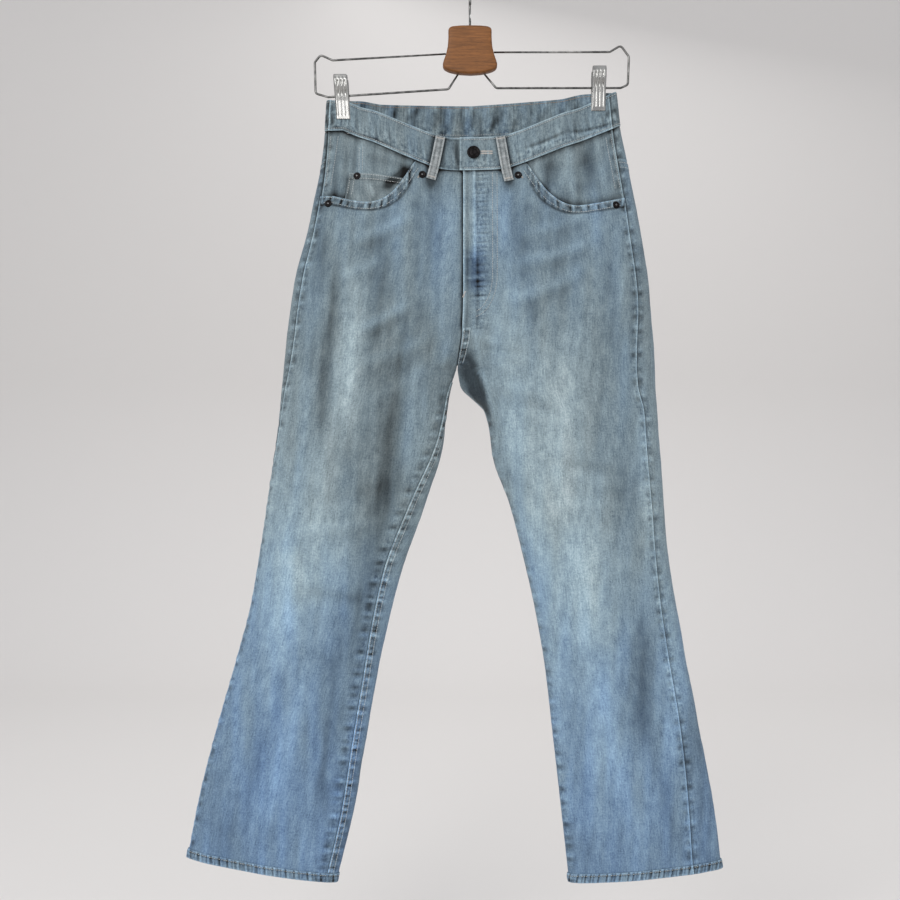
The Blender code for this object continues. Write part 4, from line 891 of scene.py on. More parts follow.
def shell_faces(rows, columns, ring=False):
    """Faces of a closed wall between an outer and an inner grid."""
    count = rows * columns
    index = np.arange(count).reshape(rows, columns)
    face = quads(index, ring)
    after = np.roll(index, -1, axis=1)
    last = columns - (0 if ring else 1)
    edges = [np.stack([index[0, :last], after[0, :last]], axis=-1),
             np.stack([after[-1, :last], index[-1, :last]], axis=-1)]
    if not ring:
        edges.append(np.stack([index[1:, 0], index[:-1, 0]], axis=-1))
        edges.append(np.stack([index[:-1, -1], index[1:, -1]], axis=-1))
    edges = np.concatenate(edges)
    border = np.concatenate([edges[:, ::-1], edges + count], axis=1)
    return np.concatenate([face, face[:, ::-1] + count, border]).tolist()


def cloth(name, outer, inner, uv, colouring, material, nodes, ring=False, inside_dye=None):
    """A cloth wall with its dye: the inner face is the cloth's paler wrong side."""
    rows, columns = outer.shape[:2]
    obj = build_mesh(name, np.concatenate([outer.reshape(-1, 3), inner.reshape(-1, 3)]),
                     shell_faces(rows, columns, ring))
    flat = lambda value: np.broadcast_to(value, (rows, columns)).ravel()
    light, blue, worn = (flat(value) for value in colouring)
    if inside_dye is None:
        inside = (0.235 + 0.3 * (light - 0.24), 0.42 + 0.3 * (blue - 0.5))
    else:
        inside = [flat(value) for value in inside_dye]
    uv = np.stack([flat(value) for value in uv], axis=-1)
    pairs = ((uv, uv + WRONG_SIDE_UV), (light, inside[0]), (blue, inside[1]), (worn, worn))
    write_colouring(obj, *(np.concatenate(pair) for pair in pairs))
    return dress(obj, material, nodes)


def rolled(border, depth=0.45, reach=0.9):
    """How far a folded or cut edge turns down, by the distance to it."""
    return -depth * bell(border, reach)


def feed(target, inputs):
    """Set inputs of a node: each is a plain value or the socket that feeds it."""
    for name, value in inputs.items():
        if isinstance(value, bpy.types.NodeSocket):
            target.id_data.links.new(value, target.inputs[name])
        else:
            target.inputs[name].default_value = value
    return target


def node(tree, kind, inputs=None, **settings):
    """Add a node with its settings and inputs."""
    made = tree.nodes.new(kind)
    for name, value in settings.items():
        setattr(made, name, value)
    return feed(made, inputs or {})


def sum_up(tree, operation, first, second, clamp=False):
    """One Math node's result."""
    inputs = {0: first, 1: second}
    return node(tree, "ShaderNodeMath", inputs, operation=operation, use_clamp=clamp).outputs[0]


def masked(tree, value, low, high, dark=0.0):
    """A value stretched so that low gives dark and high gives one."""
    inputs = {"Value": value, "From Min": low, "From Max": high, "To Min": dark}
    return node(tree, "ShaderNodeMapRange", inputs).outputs[0]


def mixed(tree, share, first, second, **settings):
    """The colour between two colours, by a share or another way to blend them."""
    inputs = {0: share, 6: first, 7: second}
    return node(tree, "ShaderNodeMix", inputs, data_type="RGBA", **settings).outputs[2]


def opaque(colour, share=1.0):
    """A colour's channels, scaled, with full alpha."""
    return tuple(share * channel for channel in colour) + (1.0,)


def new_group(name, inputs, outputs):
    """A shader node group with its sockets: returns its tree, its input node and its output node."""
    tree = bpy.data.node_groups.new(name, "ShaderNodeTree")
    for label, kind, value in inputs:
        socket = tree.interface.new_socket(name=label, in_out="INPUT", socket_type=kind)
        if value is not None:
            socket.default_value = value
    for label, kind in outputs:
        tree.interface.new_socket(name=label, in_out="OUTPUT", socket_type=kind)
    return tree, tree.nodes.new("NodeGroupInput"), tree.nodes.new("NodeGroupOutput")


def stretched_noise(tree, vector, scale, detail=3.0, rough=0.55):
    """Noise whose features are stretched: scale holds features per millimetre along each axis."""
    mapping = node(tree, "ShaderNodeMapping", {"Vector": vector, "Scale": scale})
    inputs = {"Vector": mapping.outputs[0], "Scale": 1.0, "Detail": detail, "Roughness": rough}
    return node(tree, "ShaderNodeTexNoise", inputs).outputs["Fac"]


def weave_group():
    """Twill, slubs along the warp, weft irregularity and wash mottle, read from cloth millimetres."""
    inputs = (("Cloth", "NodeSocketVector", None), ("Twill Pitch", "NodeSocketFloat", 1.0),
              ("Mottle", "NodeSocketFloat", 1.0), ("Pucker", "NodeSocketFloat", 0.0))
    tree, given, result = new_group("denim_weave", inputs,
                                    (("Grain", "NodeSocketFloat"), ("Height", "NodeSocketFloat")))
    place = given.outputs["Cloth"]
    warp = stretched_noise(tree, place, (1.7, 0.11, 1.0))
    slub = stretched_noise(tree, place, (0.46, 0.046, 1.0))
    weft = stretched_noise(tree, place, (0.12, 1.3, 1.0))
    fleck = stretched_noise(tree, place, (0.50, 0.36, 1.0), 5.0, 0.8)
    cloud = stretched_noise(tree, place, (0.07, 0.045, 1.0), 3.0, 0.6)
    scale = sum_up(tree, "DIVIDE", 0.444, given.outputs["Twill Pitch"])
    twill = node(tree, "ShaderNodeTexWave", {"Vector": place, "Scale": scale}, bands_direction="DIAGONAL")
    total = sum_up(tree, "MULTIPLY", sum_up(tree, "SUBTRACT", warp, 0.5), 0.85)
    for source, weight in ((slub, 0.8), (weft, 0.55), (twill.outputs["Fac"], 0.14)):
        share = sum_up(tree, "MULTIPLY", sum_up(tree, "SUBTRACT", source, 0.5), weight)
        total = sum_up(tree, "ADD", total, share)
    for source, weight in ((fleck, 1.9), (cloud, 0.8)):
        share = sum_up(tree, "MULTIPLY", sum_up(tree, "SUBTRACT", source, 0.5), weight)
        share = sum_up(tree, "MULTIPLY", share, given.outputs["Mottle"])
        total = sum_up(tree, "ADD", total, share)
    knots = sum_up(tree, "SUBTRACT", stretched_noise(tree, place, (0.24, 0.20, 1.0), 3.0, 0.6), 0.5)
    knots = sum_up(tree, "MULTIPLY", knots, given.outputs["Pucker"])
    total = sum_up(tree, "ADD", total, sum_up(tree, "MULTIPLY", knots, 3.4))
    height = sum_up(tree, "MULTIPLY", warp, 0.5)
    for source, weight in ((weft, 0.3), (twill.outputs["Fac"], 0.35), (fleck, 0.3), (knots, 2.4)):
        height = sum_up(tree, "ADD", height, sum_up(tree, "MULTIPLY", source, weight))
    feed(result, {"Grain": sum_up(tree, "ADD", total, 0.5), "Height": height})
    return tree


def dye_group():
    """Indigo colour from light, blue and grain: pale grain loses dye and turns greyer."""
    inputs = (("Light", "NodeSocketFloat", 0.24), ("Blue", "NodeSocketFloat", 0.5),
              ("Grain", "NodeSocketFloat", 0.5), ("Contrast", "NodeSocketFloat", 1.0))
    tree, given, result = new_group("indigo_dye", inputs, (("Color", "NodeSocketColor"),))
    grain = sum_up(tree, "SUBTRACT", given.outputs["Grain"], 0.5)
    swing = sum_up(tree, "ADD", sum_up(tree, "MULTIPLY", grain, given.outputs["Contrast"]), 1.0)
    light = sum_up(tree, "MULTIPLY", given.outputs["Light"], swing)
    blue = sum_up(tree, "SUBTRACT", given.outputs["Blue"], sum_up(tree, "MULTIPLY", grain, 0.5))
    square = sum_up(tree, "MULTIPLY", blue, sum_up(tree, "MAXIMUM", blue, 0.0))
    red = sum_up(tree, "SUBTRACT", 0.83, sum_up(tree, "MULTIPLY", blue, 0.19))
    deep = sum_up(tree, "ADD", 1.05, sum_up(tree, "MULTIPLY", blue, 0.07))
    deep = sum_up(tree, "ADD", deep, sum_up(tree, "MULTIPLY", square, 0.32))
    colour = node(tree, "ShaderNodeCombineColor", {
        "Red": sum_up(tree, "MULTIPLY", light, red, True),
        "Green": light,
        "Blue": sum_up(tree, "MULTIPLY", light, deep, True),
    })
    feed(result, {"Color": colour.outputs[0]})
    return tree


def patina_group():
    """Uneven tarnish: noise in object space that mixes two colours and changes the roughness."""
    inputs = (("Base", "NodeSocketColor", opaque([0.1] * 3)), ("Worn", "NodeSocketColor", opaque([0.3] * 3)),
              ("Scale", "NodeSocketFloat", 300.0), ("Roughness", "NodeSocketFloat", 0.4))
    outputs = (("Color", "NodeSocketColor"), ("Roughness", "NodeSocketFloat"), ("Height", "NodeSocketFloat"))
    tree, given, result = new_group("patina", inputs, outputs)
    place = node(tree, "ShaderNodeTexCoord").outputs["Object"]
    inputs = {"Vector": place, "Scale": given.outputs["Scale"], "Detail": 5.0}
    noise = node(tree, "ShaderNodeTexNoise", inputs).outputs["Fac"]
    mix = mixed(tree, masked(tree, noise, 0.42, 0.66), given.outputs["Base"], given.outputs["Worn"])
    swing = sum_up(tree, "MULTIPLY", sum_up(tree, "SUBTRACT", noise, 0.5), 0.35)
    rough = sum_up(tree, "ADD", swing, given.outputs["Roughness"])
    feed(result, {"Color": mix, "Roughness": rough, "Height": noise})
    return tree


def placed(tree, name, make, inputs):
    """One of the node groups, made the first time it is asked for, with its own values."""
    group = bpy.data.node_groups.get(name) or make()
    return node(tree, "ShaderNodeGroup", inputs, node_tree=group).outputs


def bare_material(name):
    """A material with its tree and its Principled shader."""
    material = bpy.data.materials.new(name)
    material.use_nodes = True
    return material, material.node_tree, material.node_tree.nodes["Principled BSDF"]


def bump(tree, height, distance, strength=1.0):
    """A shader's normal from a height."""
    inputs = {"Height": height, "Distance": distance, "Strength": strength}
    return node(tree, "ShaderNodeBump", inputs).outputs[0]


def denim_material(look):
    """Washed cotton denim, whose dye is painted on the pieces' vertices."""
    material = bpy.data.materials.get("washed_denim")
    if material:
        return material
    material, tree, shader = bare_material("washed_denim")
    wash = node(tree, "ShaderNodeAttribute", attribute_name="wash")
    parts = node(tree, "ShaderNodeSeparateColor", {"Color": wash.outputs["Color"]}).outputs
    place = node(tree, "ShaderNodeUVMap", uv_map="cloth").outputs[0]
    weave = placed(tree, "denim_weave", weave_group,
                   {"Cloth": place, "Twill Pitch": look.twill_pitch, "Pucker": parts["Blue"]})
    colouring = placed(tree, "indigo_dye", dye_group,
                 {"Light": parts["Red"], "Blue": parts["Green"], "Grain": weave["Grain"],
                  "Contrast": look.grain_contrast})
    feed(shader, {"Base Color": colouring["Color"], "Roughness": 0.88, "Specular IOR Level": 0.25,
                  "Sheen Weight": 0.12, "Sheen Roughness": 0.45,
                  "Normal": bump(tree, weave["Height"], 0.0004, 0.7)})
    return material


def tape_material():
    """Woven zip tape: a fine even weave on a plain grey blue."""
    material, tree, shader = bare_material("zip_tape_weave")
    place = node(tree, "ShaderNodeUVMap", uv_map="cloth").outputs[0]
    weave = placed(tree, "denim_weave", weave_group, {"Cloth": place, "Twill Pitch": 0.6, "Mottle": 0.3})
    colouring = placed(tree, "indigo_dye", dye_group,
                 {"Light": 0.12, "Blue": 0.55, "Grain": weave["Grain"], "Contrast": 0.6})
    feed(shader, {"Base Color": colouring["Color"], "Roughness": 0.8,
                  "Normal": bump(tree, weave["Height"], 0.0002)})
    return material


def thread_material(name, colour):
    """Twisted cotton thread: a pale colour with fine uneven darkening."""
    material, tree, shader = bare_material(name)
    patina = placed(tree, "patina", patina_group,
                    {"Base": opaque(colour, 0.72), "Worn": opaque(colour), "Scale": 900.0, "Roughness": 0.75})
    feed(shader, {"Base Color": patina["Color"], "Roughness": patina["Roughness"], "Sheen Weight": 0.1})
    return material


def metal_material(name, base, worn, roughness, scale, depth):
    """Bare metal with tarnish in its hollows and a fine surface."""
    material, tree, shader = bare_material(name)
    patina = placed(tree, "patina", patina_group,
                    {"Base": opaque(base), "Worn": opaque(worn), "Scale": scale, "Roughness": roughness})
    feed(shader, {"Base Color": patina["Color"], "Roughness": patina["Roughness"], "Metallic": 1.0,
                  "Normal": bump(tree, patina["Height"], depth, 0.5)})
    return material


def wood_material(look):
    """Stained wood: rings stretched along the block, darker pores and a satin coat."""
    material, tree, shader = bare_material("stained_wood")
    place = node(tree, "ShaderNodeTexCoord").outputs["Object"]
    grain = node(tree, "ShaderNodeMapping", {"Vector": place, "Scale": (30.0, 260.0, 420.0)}).outputs[0]
    inputs = {"Vector": grain, "Scale": 1.0, "Detail": 6.0, "Distortion": 0.6}
    rings = node(tree, "ShaderNodeTexNoise", inputs).outputs["Fac"]
    fine = node(tree, "ShaderNodeMapping", {"Vector": place, "Scale": (160.0, 1500.0, 2600.0)}).outputs[0]
    pore = node(tree, "ShaderNodeTexNoise", {"Vector": fine, "Scale": 1.0, "Detail": 3.0}).outputs["Fac"]
    mask = masked(tree, rings, 0.32, 0.7)
    stain = mixed(tree, mask, opaque(look.wood_colour, 0.55), opaque(look.wood_colour))
    tone = mixed(tree, 1.0, stain, masked(tree, pore, 0.35, 0.5, 0.72), blend_type="MULTIPLY")
    feed(shader, {"Base Color": tone, "Roughness": 0.5, "Specular IOR Level": 0.3,
                  "Normal": bump(tree, pore, 0.0001, 0.6)})
    return material


class Thread:
    """Collects stitches: each is a thin spindle of twenty triangles that lies on the cloth."""

    def __init__(self):
        self.points = []

    def stitches(self, centre, along, out, length, width, height):
        """Add spindles at centres, each along its own direction and flat to its outward one."""
        along = unit(along)
        side = unit(np.cross(along, out))
        rings = []
        for place, size in ((-0.5, 0.5), (0.0, 1.0), (0.5, 0.5)):
            middle = centre + along * (length * place)
            for across, up in ((1.0, 0.0), (0.0, 1.0), (-1.0, 0.0), (0.0, -1.0)):
                rings.append(middle + side * (across * size * width / 2) + out * (up * size * height / 2))
        self.points.append(np.stack(rings, axis=1))

    def row(self, half, s, v, off, pitch=3.2, length=2.5, width=0.8, turned=1.0):
        """A row of running stitches along (s, v), off the worn cloth by a distance."""
        skin = Skin(half, s, v)
        line = skin.off(off)
        run = run_along(line)
        at = (np.arange(max(1, int(run[-1] / pitch))) + 0.5) * pitch
        along = read_at(line, run, at + 0.4) - read_at(line, run, at - 0.4)
        out = unit(read_at(skin.out, run, at)) * turned
        self.stitches(read_at(line, run, at), along, out, length, width, 0.5)

    def beside(self, half, edge, v, distances, off, near=None):
        """Rows at distances from a seam whose s at each level v is given, measured near that seam."""
        near = edge if near is None else near
        for distance in distances:
            self.row(half, edge + half.step(near, v, distance), v, off)

    def bar(self, skin, off, long, wide, high):
        """Stitches side by side and close together, across a line of places."""
        line = skin.off(off)
        self.stitches(line, np.cross(np.gradient(line, axis=0), skin.out), skin.out, long, wide, high)

    def tack(self, half, x, z, lean, long, wide, off):
        """A bar tack: close stitches side by side along a short line that leans from upright."""
        steps = (np.arange(max(3, int(long / 0.5))) + 0.5) * 0.5 - long / 2
        lean = math.radians(lean)
        s, v = half.locate(x + steps * math.sin(lean), z + steps * math.cos(lean))
        self.bar(Skin(half, s, v), off, wide, 0.5, 0.75)

    def build(self, name, material):
        """Make one mesh of every stitch."""
        points = np.concatenate(self.points)
        count = len(points)
        ring = np.arange(4)
        after = (ring + 1) % 4
        side = np.stack([ring, after, after + 4, ring + 4], axis=1)
        face = np.concatenate([side, side + 4, [[3, 2, 1, 0], [8, 9, 10, 11]]])
        faces = (face[None, :, :] + 12 * np.arange(count)[:, None, None]).reshape(-1, 4).tolist()
        return dress(build_mesh(name, points, faces), material)


def lathe(name, profile, steps, place, axis, material, nodes, flute=0.0, flutes=0, rim=0.0):
    """A turned piece: a profile of (radius, height) spun about its axis, with small waves round its rim.

    The surface is a function of profile and angle; waves stand on radii near rim.
    """
    profile = np.array(profile, dtype=float)
    angle = np.linspace(0.0, 2.0 * math.pi, steps, endpoint=False)
    radius = np.repeat(profile[1:-1, 0][:, None], steps, axis=1)
    height = np.repeat(profile[1:-1, 1][:, None], steps, axis=1)
    if flute:
        height += flute * np.sin(flutes * angle) * bell(radius, 0.1 * rim, rim)
    axis = unit(np.asarray(axis, dtype=float))
    first = unit(np.cross(axis, (0.0, 0.0, 1.0)))
    second = np.cross(axis, first)
    spoke = np.cos(angle)[:, None] * first + np.sin(angle)[:, None] * second
    points = np.asarray(place) + radius[..., None] * spoke + height[..., None] * axis
    poles = [np.asarray(place) + profile[k, 1] * axis for k in (0, -1)]
    index = np.arange(radius.size).reshape(radius.shape)
    mesh = build_mesh(name, np.concatenate([points.reshape(-1, 3), poles]), closed_on_poles(index))
    return dress(mesh, material, nodes)


def tube(name, path, radius, sides, up, material, nodes):
    """A round wire: a circle carried along a path, square to it, with closed ends."""
    path = np.asarray(path, dtype=float)
    ahead = unit(np.gradient(path, axis=0))
    up = np.broadcast_to(np.asarray(up, dtype=float), path.shape)
    side = unit(np.cross(ahead, up))
    lift = np.cross(side, ahead)
    angle = np.linspace(0.0, 2.0 * math.pi, sides, endpoint=False)
    taper = np.ones(len(path))
    taper[[0, -1]] = 0.8
    circle = np.cos(angle)[None, :, None] * side[:, None] + np.sin(angle)[None, :, None] * lift[:, None]
    points = path[:, None] + radius * taper[:, None, None] * circle
    index = np.arange(len(path) * sides).reshape(len(path), sides)
    face = quads(index, True).tolist() + [index[0].tolist()[::-1], index[-1].tolist()]
    return dress(build_mesh(name, points, face), material, nodes)


def rounded_path(corners, radius, steps=10):
    """Points of a bent wire: straight runs, with a curve of about the radius at each corner."""
    corners = [np.array(corner, dtype=float) for corner in corners]
    points = [corners[0]]
    for before, corner, after in zip(corners, corners[1:], corners[2:]):
        back = unit(before - corner)
        ahead = unit(after - corner)
        angle = math.acos(float(np.clip(back @ ahead, -1.0, 1.0)))
        room = min(np.linalg.norm(before - corner), np.linalg.norm(after - corner)) * 0.49
        cut = min(radius / math.tan(angle / 2), room)
        part = np.linspace(0.0, 1.0, steps)[:, None]
        start = corner + back * cut
        end = corner + ahead * cut
        points += list((1 - part) ** 2 * start + 2 * part * (1 - part) * corner + part ** 2 * end)
    points.append(corners[-1])
    return np.array(points)


ROW_STEP = 2.9
COLUMN_STEP = 3.1
UPPER = 1.0 - (1.0 - np.linspace(0.0, 1.0, 47)[1:]) ** 1.6


def long_levels(end):
    """Nominal rows of a leg panel: even ones to V_MAPPED, then rows that close up on its top edge."""
    straight = np.linspace(HEM_LOW, V_MAPPED, int(V_MAPPED / ROW_STEP))
    return straight, np.concatenate([straight, V_MAPPED + (end - V_MAPPED) * UPPER])


def to_top(straight, top):
    """Levels of every row and column below a curved top edge."""
    low = np.repeat(straight[:, None], len(top), axis=1)
    return np.concatenate([low, V_MAPPED + (top - V_MAPPED) * UPPER[:, None]])


def below_edge(top, v, distance):
    """Distance square to a curved top edge."""
    slope = np.gradient(top, distance[-1])
    return (top - v) / np.sqrt(1.0 + slope ** 2)


def front_cloth(half, material):
    """Front panel: a thin shell on the worn front, thicker at the turned mouth, rolled at its edges."""
    straight, nominal = long_levels(PANEL_TOP_V)
    s, v, start, end = lay_out(half, front_edges, nominal,
                               lambda share: to_top(straight, front_top(half, share)), COLUMN_STEP)
    skin = Skin(half, s, v)
    top = v[-1]
    down = below_edge(top, v, start)
    on_mouth = ease(V_WAIST - top, 1.0, 6.0)
    light, blue, worn = skin.colouring()
    band = on_mouth * bell(np.maximum(down - 9.0, 0.0), 1.6)
    waves = pucker(start, 7.5, 51)
    lift = 0.55 * band + 0.22 * band * waves * bell(down, 4.0, 6.0)
    # Puckers of the turned mouth: lighter ridges and a darker band, partly wear and partly painted shade; the
    # mouth's edge is worn pale
    light += band * (0.095 * waves - 0.055) + on_mouth * 0.19 * bell(down, 1.5)
    # A painted shadow below the turned band of the mouth
    light = light - on_mouth * 0.13 * bell(down, 1.6, 11.6)
    worn = np.maximum(worn, on_mouth * (0.35 + 0.65 * bell(start, 40.0, 75.0)) * (down < 12.0))
    # A painted shadow on the panel under the waistband
    light = light - (1.0 - on_mouth) * bells(down, (0.105, 5.0, 0.0), (0.114, 1.8, 0.0))
    lift += (1.0 - on_mouth) * 0.2 * pucker(start, 9.0, 52) * bell(down, 6.0, 7.0)
    on_fly = ease(v, 700.0, 722.0)
    if half.sign > 0:
        lift += on_fly * 0.7 * (1.0 - ease(start, 2.0, 18.0))
        lift += on_fly * 0.5 * bell(start, 2.4, 14.5)
        # The fly's folded edge is worn pale; the dark lines beside the raised edge and ridge are painted
        # shade
        light += on_fly * bells(start, (0.22, 1.8, 0.0), (-0.06, 1.6, 5.2), (-0.07, 1.9, 19.0))
        light += ease(v, 812.0, 842.0) * 0.13 * bell(start, 1.9, 14.5)
        light += on_fly * 0.045 * pucker(v, 7.5, 53) * bell(start, 8.0, 25.0)
        worn = np.maximum(worn, on_fly * 0.6 * bell(start, 12.0, 24.0))
        blue = blue + on_fly * 0.08 * bell(start, 9.0, 24.0)
        lift += on_fly * 0.3 * pucker(v, 8.0, 53) * bell(start, 9.0, 22.0)
    else:
        lift = lift - on_fly * 0.5 * (1.0 - ease(start, 0.0, 8.0))
        # A painted shadow where the right panel's fly edge lies over this panel
        light = light - on_fly * 0.19 * bell(start, 2.9)
    lift += rolled(np.minimum(np.minimum(start, end), down))
    return cloth("front_cloth_" + half.name, skin.off(lift), skin.off(-DENIM + 0.4 * lift), (400.0 - end, v),
                 (light, blue, worn), material, ["front_panel_" + half.name])


def back_cloth(half, material):
    """Back panel: a thin shell on the worn back, from the hem to the yoke seam."""
    straight, nominal = long_levels(915.0)
    s, v, start, end = lay_out(half, back_edges, nominal,
                               lambda share: to_top(straight, yoke_level(share) - SEAM_GAP / 2), COLUMN_STEP)
    skin = Skin(half, s, v)
    down = v[-1] - v
    light, blue, worn = skin.colouring()
    light += 0.02 * pucker(start, 9.0, 61) * bell(down, 5.0, 6.0)
    # A painted shadow below the raised edge of the yoke seam
    light = light - 0.03 * bell(down, 2.0, 10.5)
    lift = rolled(np.minimum(np.minimum(start, end), down))
    lift += 0.25 * bell(np.maximum(down - 8.0, 0.0), 1.5)
    return cloth("back_cloth_" + half.name, skin.off(lift), skin.off(-DENIM + 0.4 * lift), (start, v),
                 (light, blue, worn), material, ["back_panel_" + half.name])


def patch_of(half, edges, low, high, rows, span=(0.0, 1.0), step=2.6):
    """Grids for a piece between two curved borders, given as functions of the share across."""
    part = np.linspace(0.0, 1.0, rows)[:, None]
    nominal = np.full(rows, PANEL_TOP_V)
    return lay_out(half, edges, nominal, lambda share: low(share) + (high(share) - low(share)) * part,
                   step, span)


def yoke_cloth(half, material):
    """Back yoke: the wedge above the back panel."""
    s, v, start, end = patch_of(half, back_edges, lambda a: yoke_level(a) + SEAM_GAP / 2,
                                lambda a: np.full(len(a), V_WAIST - SEAM_GAP / 2), 26)
    skin = Skin(half, s, v)
    up, down = v - v[0], v[-1] - v
    light, blue, worn = skin.colouring()
    # A painted shadow under the waistband, a pale worn lower edge, and a painted dark line of shade just
    # above that edge
    light = light - 0.10 * bell(down, 3.0) + 0.14 * bell(up, 1.6)
    light = light - 0.06 * bell(up, 1.6, 3.5)
    border = np.minimum(np.minimum(start, end), np.minimum(up, down))
    lift = rolled(border) + 0.2 * pucker(start, 10.0, 62) * bell(down, 5.0, 6.0)
    return cloth("yoke_cloth_" + half.name, skin.off(lift), skin.off(-DENIM), (start, v + 900.0),
                 (light, blue, worn), material, ["back_yoke_" + half.name])


def facing_cloth(half, material):
    """Pocket facing: greyer denim behind the mouth, with darker upright shadows."""
    s, v, start, _ = patch_of(
        half, front_edges,
        lambda a: np.minimum(front_top(half, a) - FACING_TUCK, V_WAIST - SEAM_GAP / 2 - 40.0),
        lambda a: np.full(len(a), V_WAIST - SEAM_GAP / 2), 44, span=(0.25, 1.0))
    skin = Skin(half, s, v)
    light, blue, worn = skin.colouring()
    down = v[-1] - v
    mouth = mouth_level(half, s)
    # Painted shadow just under the pocket mouth; on the next line, painted shadow under the waistband
    light = light - 0.01 - 0.13 * bell(v, 7.0, mouth) * ease(half.outseam(v) - s, 0.0, 0.12)
    light = light - 0.12 * bell(down, 5.0) + 0.02 * pucker(start, 23.0, 63)
    depth = FACING_DEPTH[half.name]
    return cloth("facing_cloth_" + half.name, skin.off(-depth), skin.off(-depth - FACING_WALL),
                 (start + 500.0, v), (light, blue - 0.15, worn), material,
                 ["pocket_facing_" + half.name])


def coin_pocket_cloth(material):
    """Coin pocket: a small patch on the facing, greyer, with a turned top edge."""
    inner_s, inner_v = LEFT.locate(*COIN_INNER)
    outer_s, outer_v = LEFT.locate(*COIN_OUTER)
    across = np.linspace(0.0, 1.0, 36)
    s = inner_s + (outer_s - inner_s) * across
    high = inner_v + (outer_v - inner_v) * across
    low = np.minimum(mouth_level(LEFT, s) - 10.0, high - 8.0)
    v = low + (high - low) * np.linspace(0.0, 1.0, 22)[:, None]
    s = np.repeat(s[None, :], 22, axis=0)
    skin = Skin(LEFT, s, v)
    run = np.linalg.norm(skin.place - skin.place[:, :1], axis=-1)
    border = np.minimum(v[-1] - v, run[:, -1:] - run)
    light, blue, worn = skin.colouring()
    # Pale worn edges, and a painted dark line of shade along the lower row of stitches
    light = light - 0.02 + 0.13 * bell(border, 1.4) - 0.07 * bell(v[-1] - v, 1.5, 9.0)
    low_off = 0.3 - FACING_DEPTH["left"]
    lift = low_off + POCKET_WALL + rolled(border, 0.35) + 0.12 * pucker(run, 9.0, 64) * np.exp(
        -((v[-1] - v - 5.0) / 5.0) ** 2)
    return cloth("coin_pocket_cloth", skin.off(lift), skin.off(low_off), (run + 700.0, v),
                 (light, blue - 0.4, worn), material, ["coin_pocket"])


def pocket_border(side, part):
    """Width share and depth of a back pocket's points: its foot comes to a blunt point."""
    foot = POCKET_SIDE_HEIGHT + (POCKET_HEIGHT - POCKET_SIDE_HEIGHT) * (1.0 - np.abs(side))
    width = POCKET_TOP_WIDTH + (POCKET_LOW_WIDTH - POCKET_TOP_WIDTH) * part
    return side * width / 2, foot * part, width


def back_pocket_cloth(half, material):
    """Back pocket: a plain patch with turned edges, a hemmed top and pale worn ridges."""
    part, side = np.meshgrid(np.linspace(0.0, 1.0, 58), np.linspace(-1.0, 1.0, 56), indexing="ij")
    x, drop, width = pocket_border(side, part)
    s, v = half.locate(POCKET_X[half.name] + x, POCKET_TOP_Z - drop, back=True)
    skin = Skin(half, s, v)
    border = np.minimum((1.0 - np.abs(side)) * width / 2, (1.0 - part) * POCKET_SIDE_HEIGHT)
    border = np.minimum(border, drop)
    light, blue, worn = skin.colouring()
    light += 0.012 + 0.15 * bell(border, 1.7)
    worn = np.maximum(worn, 0.7 * bell(border, 3.2, 5.0))
    # Puckers near the border: lighter ridges and a darker band, partly wear and partly painted shade
    waves = pucker(x * 1.3 + drop, 10.0, 65)
    light += (0.035 * waves - 0.045) * bell(border, 2.6, 5.0)
    # A painted shadow below the edge of the hemmed top
    light = light - 0.03 * bell(drop, 1.6, 16.5)
    lift = LAY_GAP + POCKET_WALL + rolled(border, 0.55, 1.1) + 0.2 * waves * bell(border, 3.5, 5.0)
    lift += 0.35 * bell(np.maximum(drop - 14.0, 0.0), 1.5)
    return cloth("back_pocket_cloth_" + half.name, skin.off(lift), skin.off(LAY_GAP), (x + 900.0, drop),
                 (light, blue, worn), material, ["back_pocket_" + half.name])


def hem_cloth(half, material):
    """Hem: a turned band round the foot of a leg, roped on the slant by its chain of stitches."""
    rows = np.linspace(HEM_LOW, HEM_HEIGHT, 9)
    level = lambda share: np.repeat(rows[:, None], len(share), axis=1)
    front = lay_out(half, front_edges, rows, level, 1.3, fine=(0.0, 1.0, 2.4))
    back = lay_out(half, back_edges, rows, level, 1.3, fine=(0.0, 1.0, 2.4))
    s, v = (np.concatenate([front[k], back[k]], axis=1) for k in (0, 1))
    run = np.concatenate([front[2], back[2] + front[2][:, -1:]], axis=1)
    skin = Skin(half, s, v)
    light, blue, _ = skin.colouring()
    slant = pucker(run - 0.3 * v, 5.6, 71 + int(half.sign))
    # Roping: lighter ridges and darker hollows along the slant, partly wear and partly painted shade
    light = light - 0.015 + 0.085 * slant
    # Pale worn edges, and a painted dark line of shade in the groove of the stitch row
    light += bells(v, (0.15, 1.5, HEM_LOW), (0.12, 1.3, HEM_HEIGHT), (-0.12, 1.2, 9.0))
    edge = np.minimum(v - HEM_LOW, HEM_HEIGHT - v)
    lift = LAY_GAP + HEM_WALL + 0.28 * slant + rolled(edge, 0.5, 1.1) - 0.25 * bell(v, 1.2, 9.4)
    return cloth("hem_cloth_" + half.name, skin.off(lift), skin.off(LAY_GAP), (run, v),
                 (light, blue - 0.2, 0.35), material, ["hem_" + half.name], ring=True)


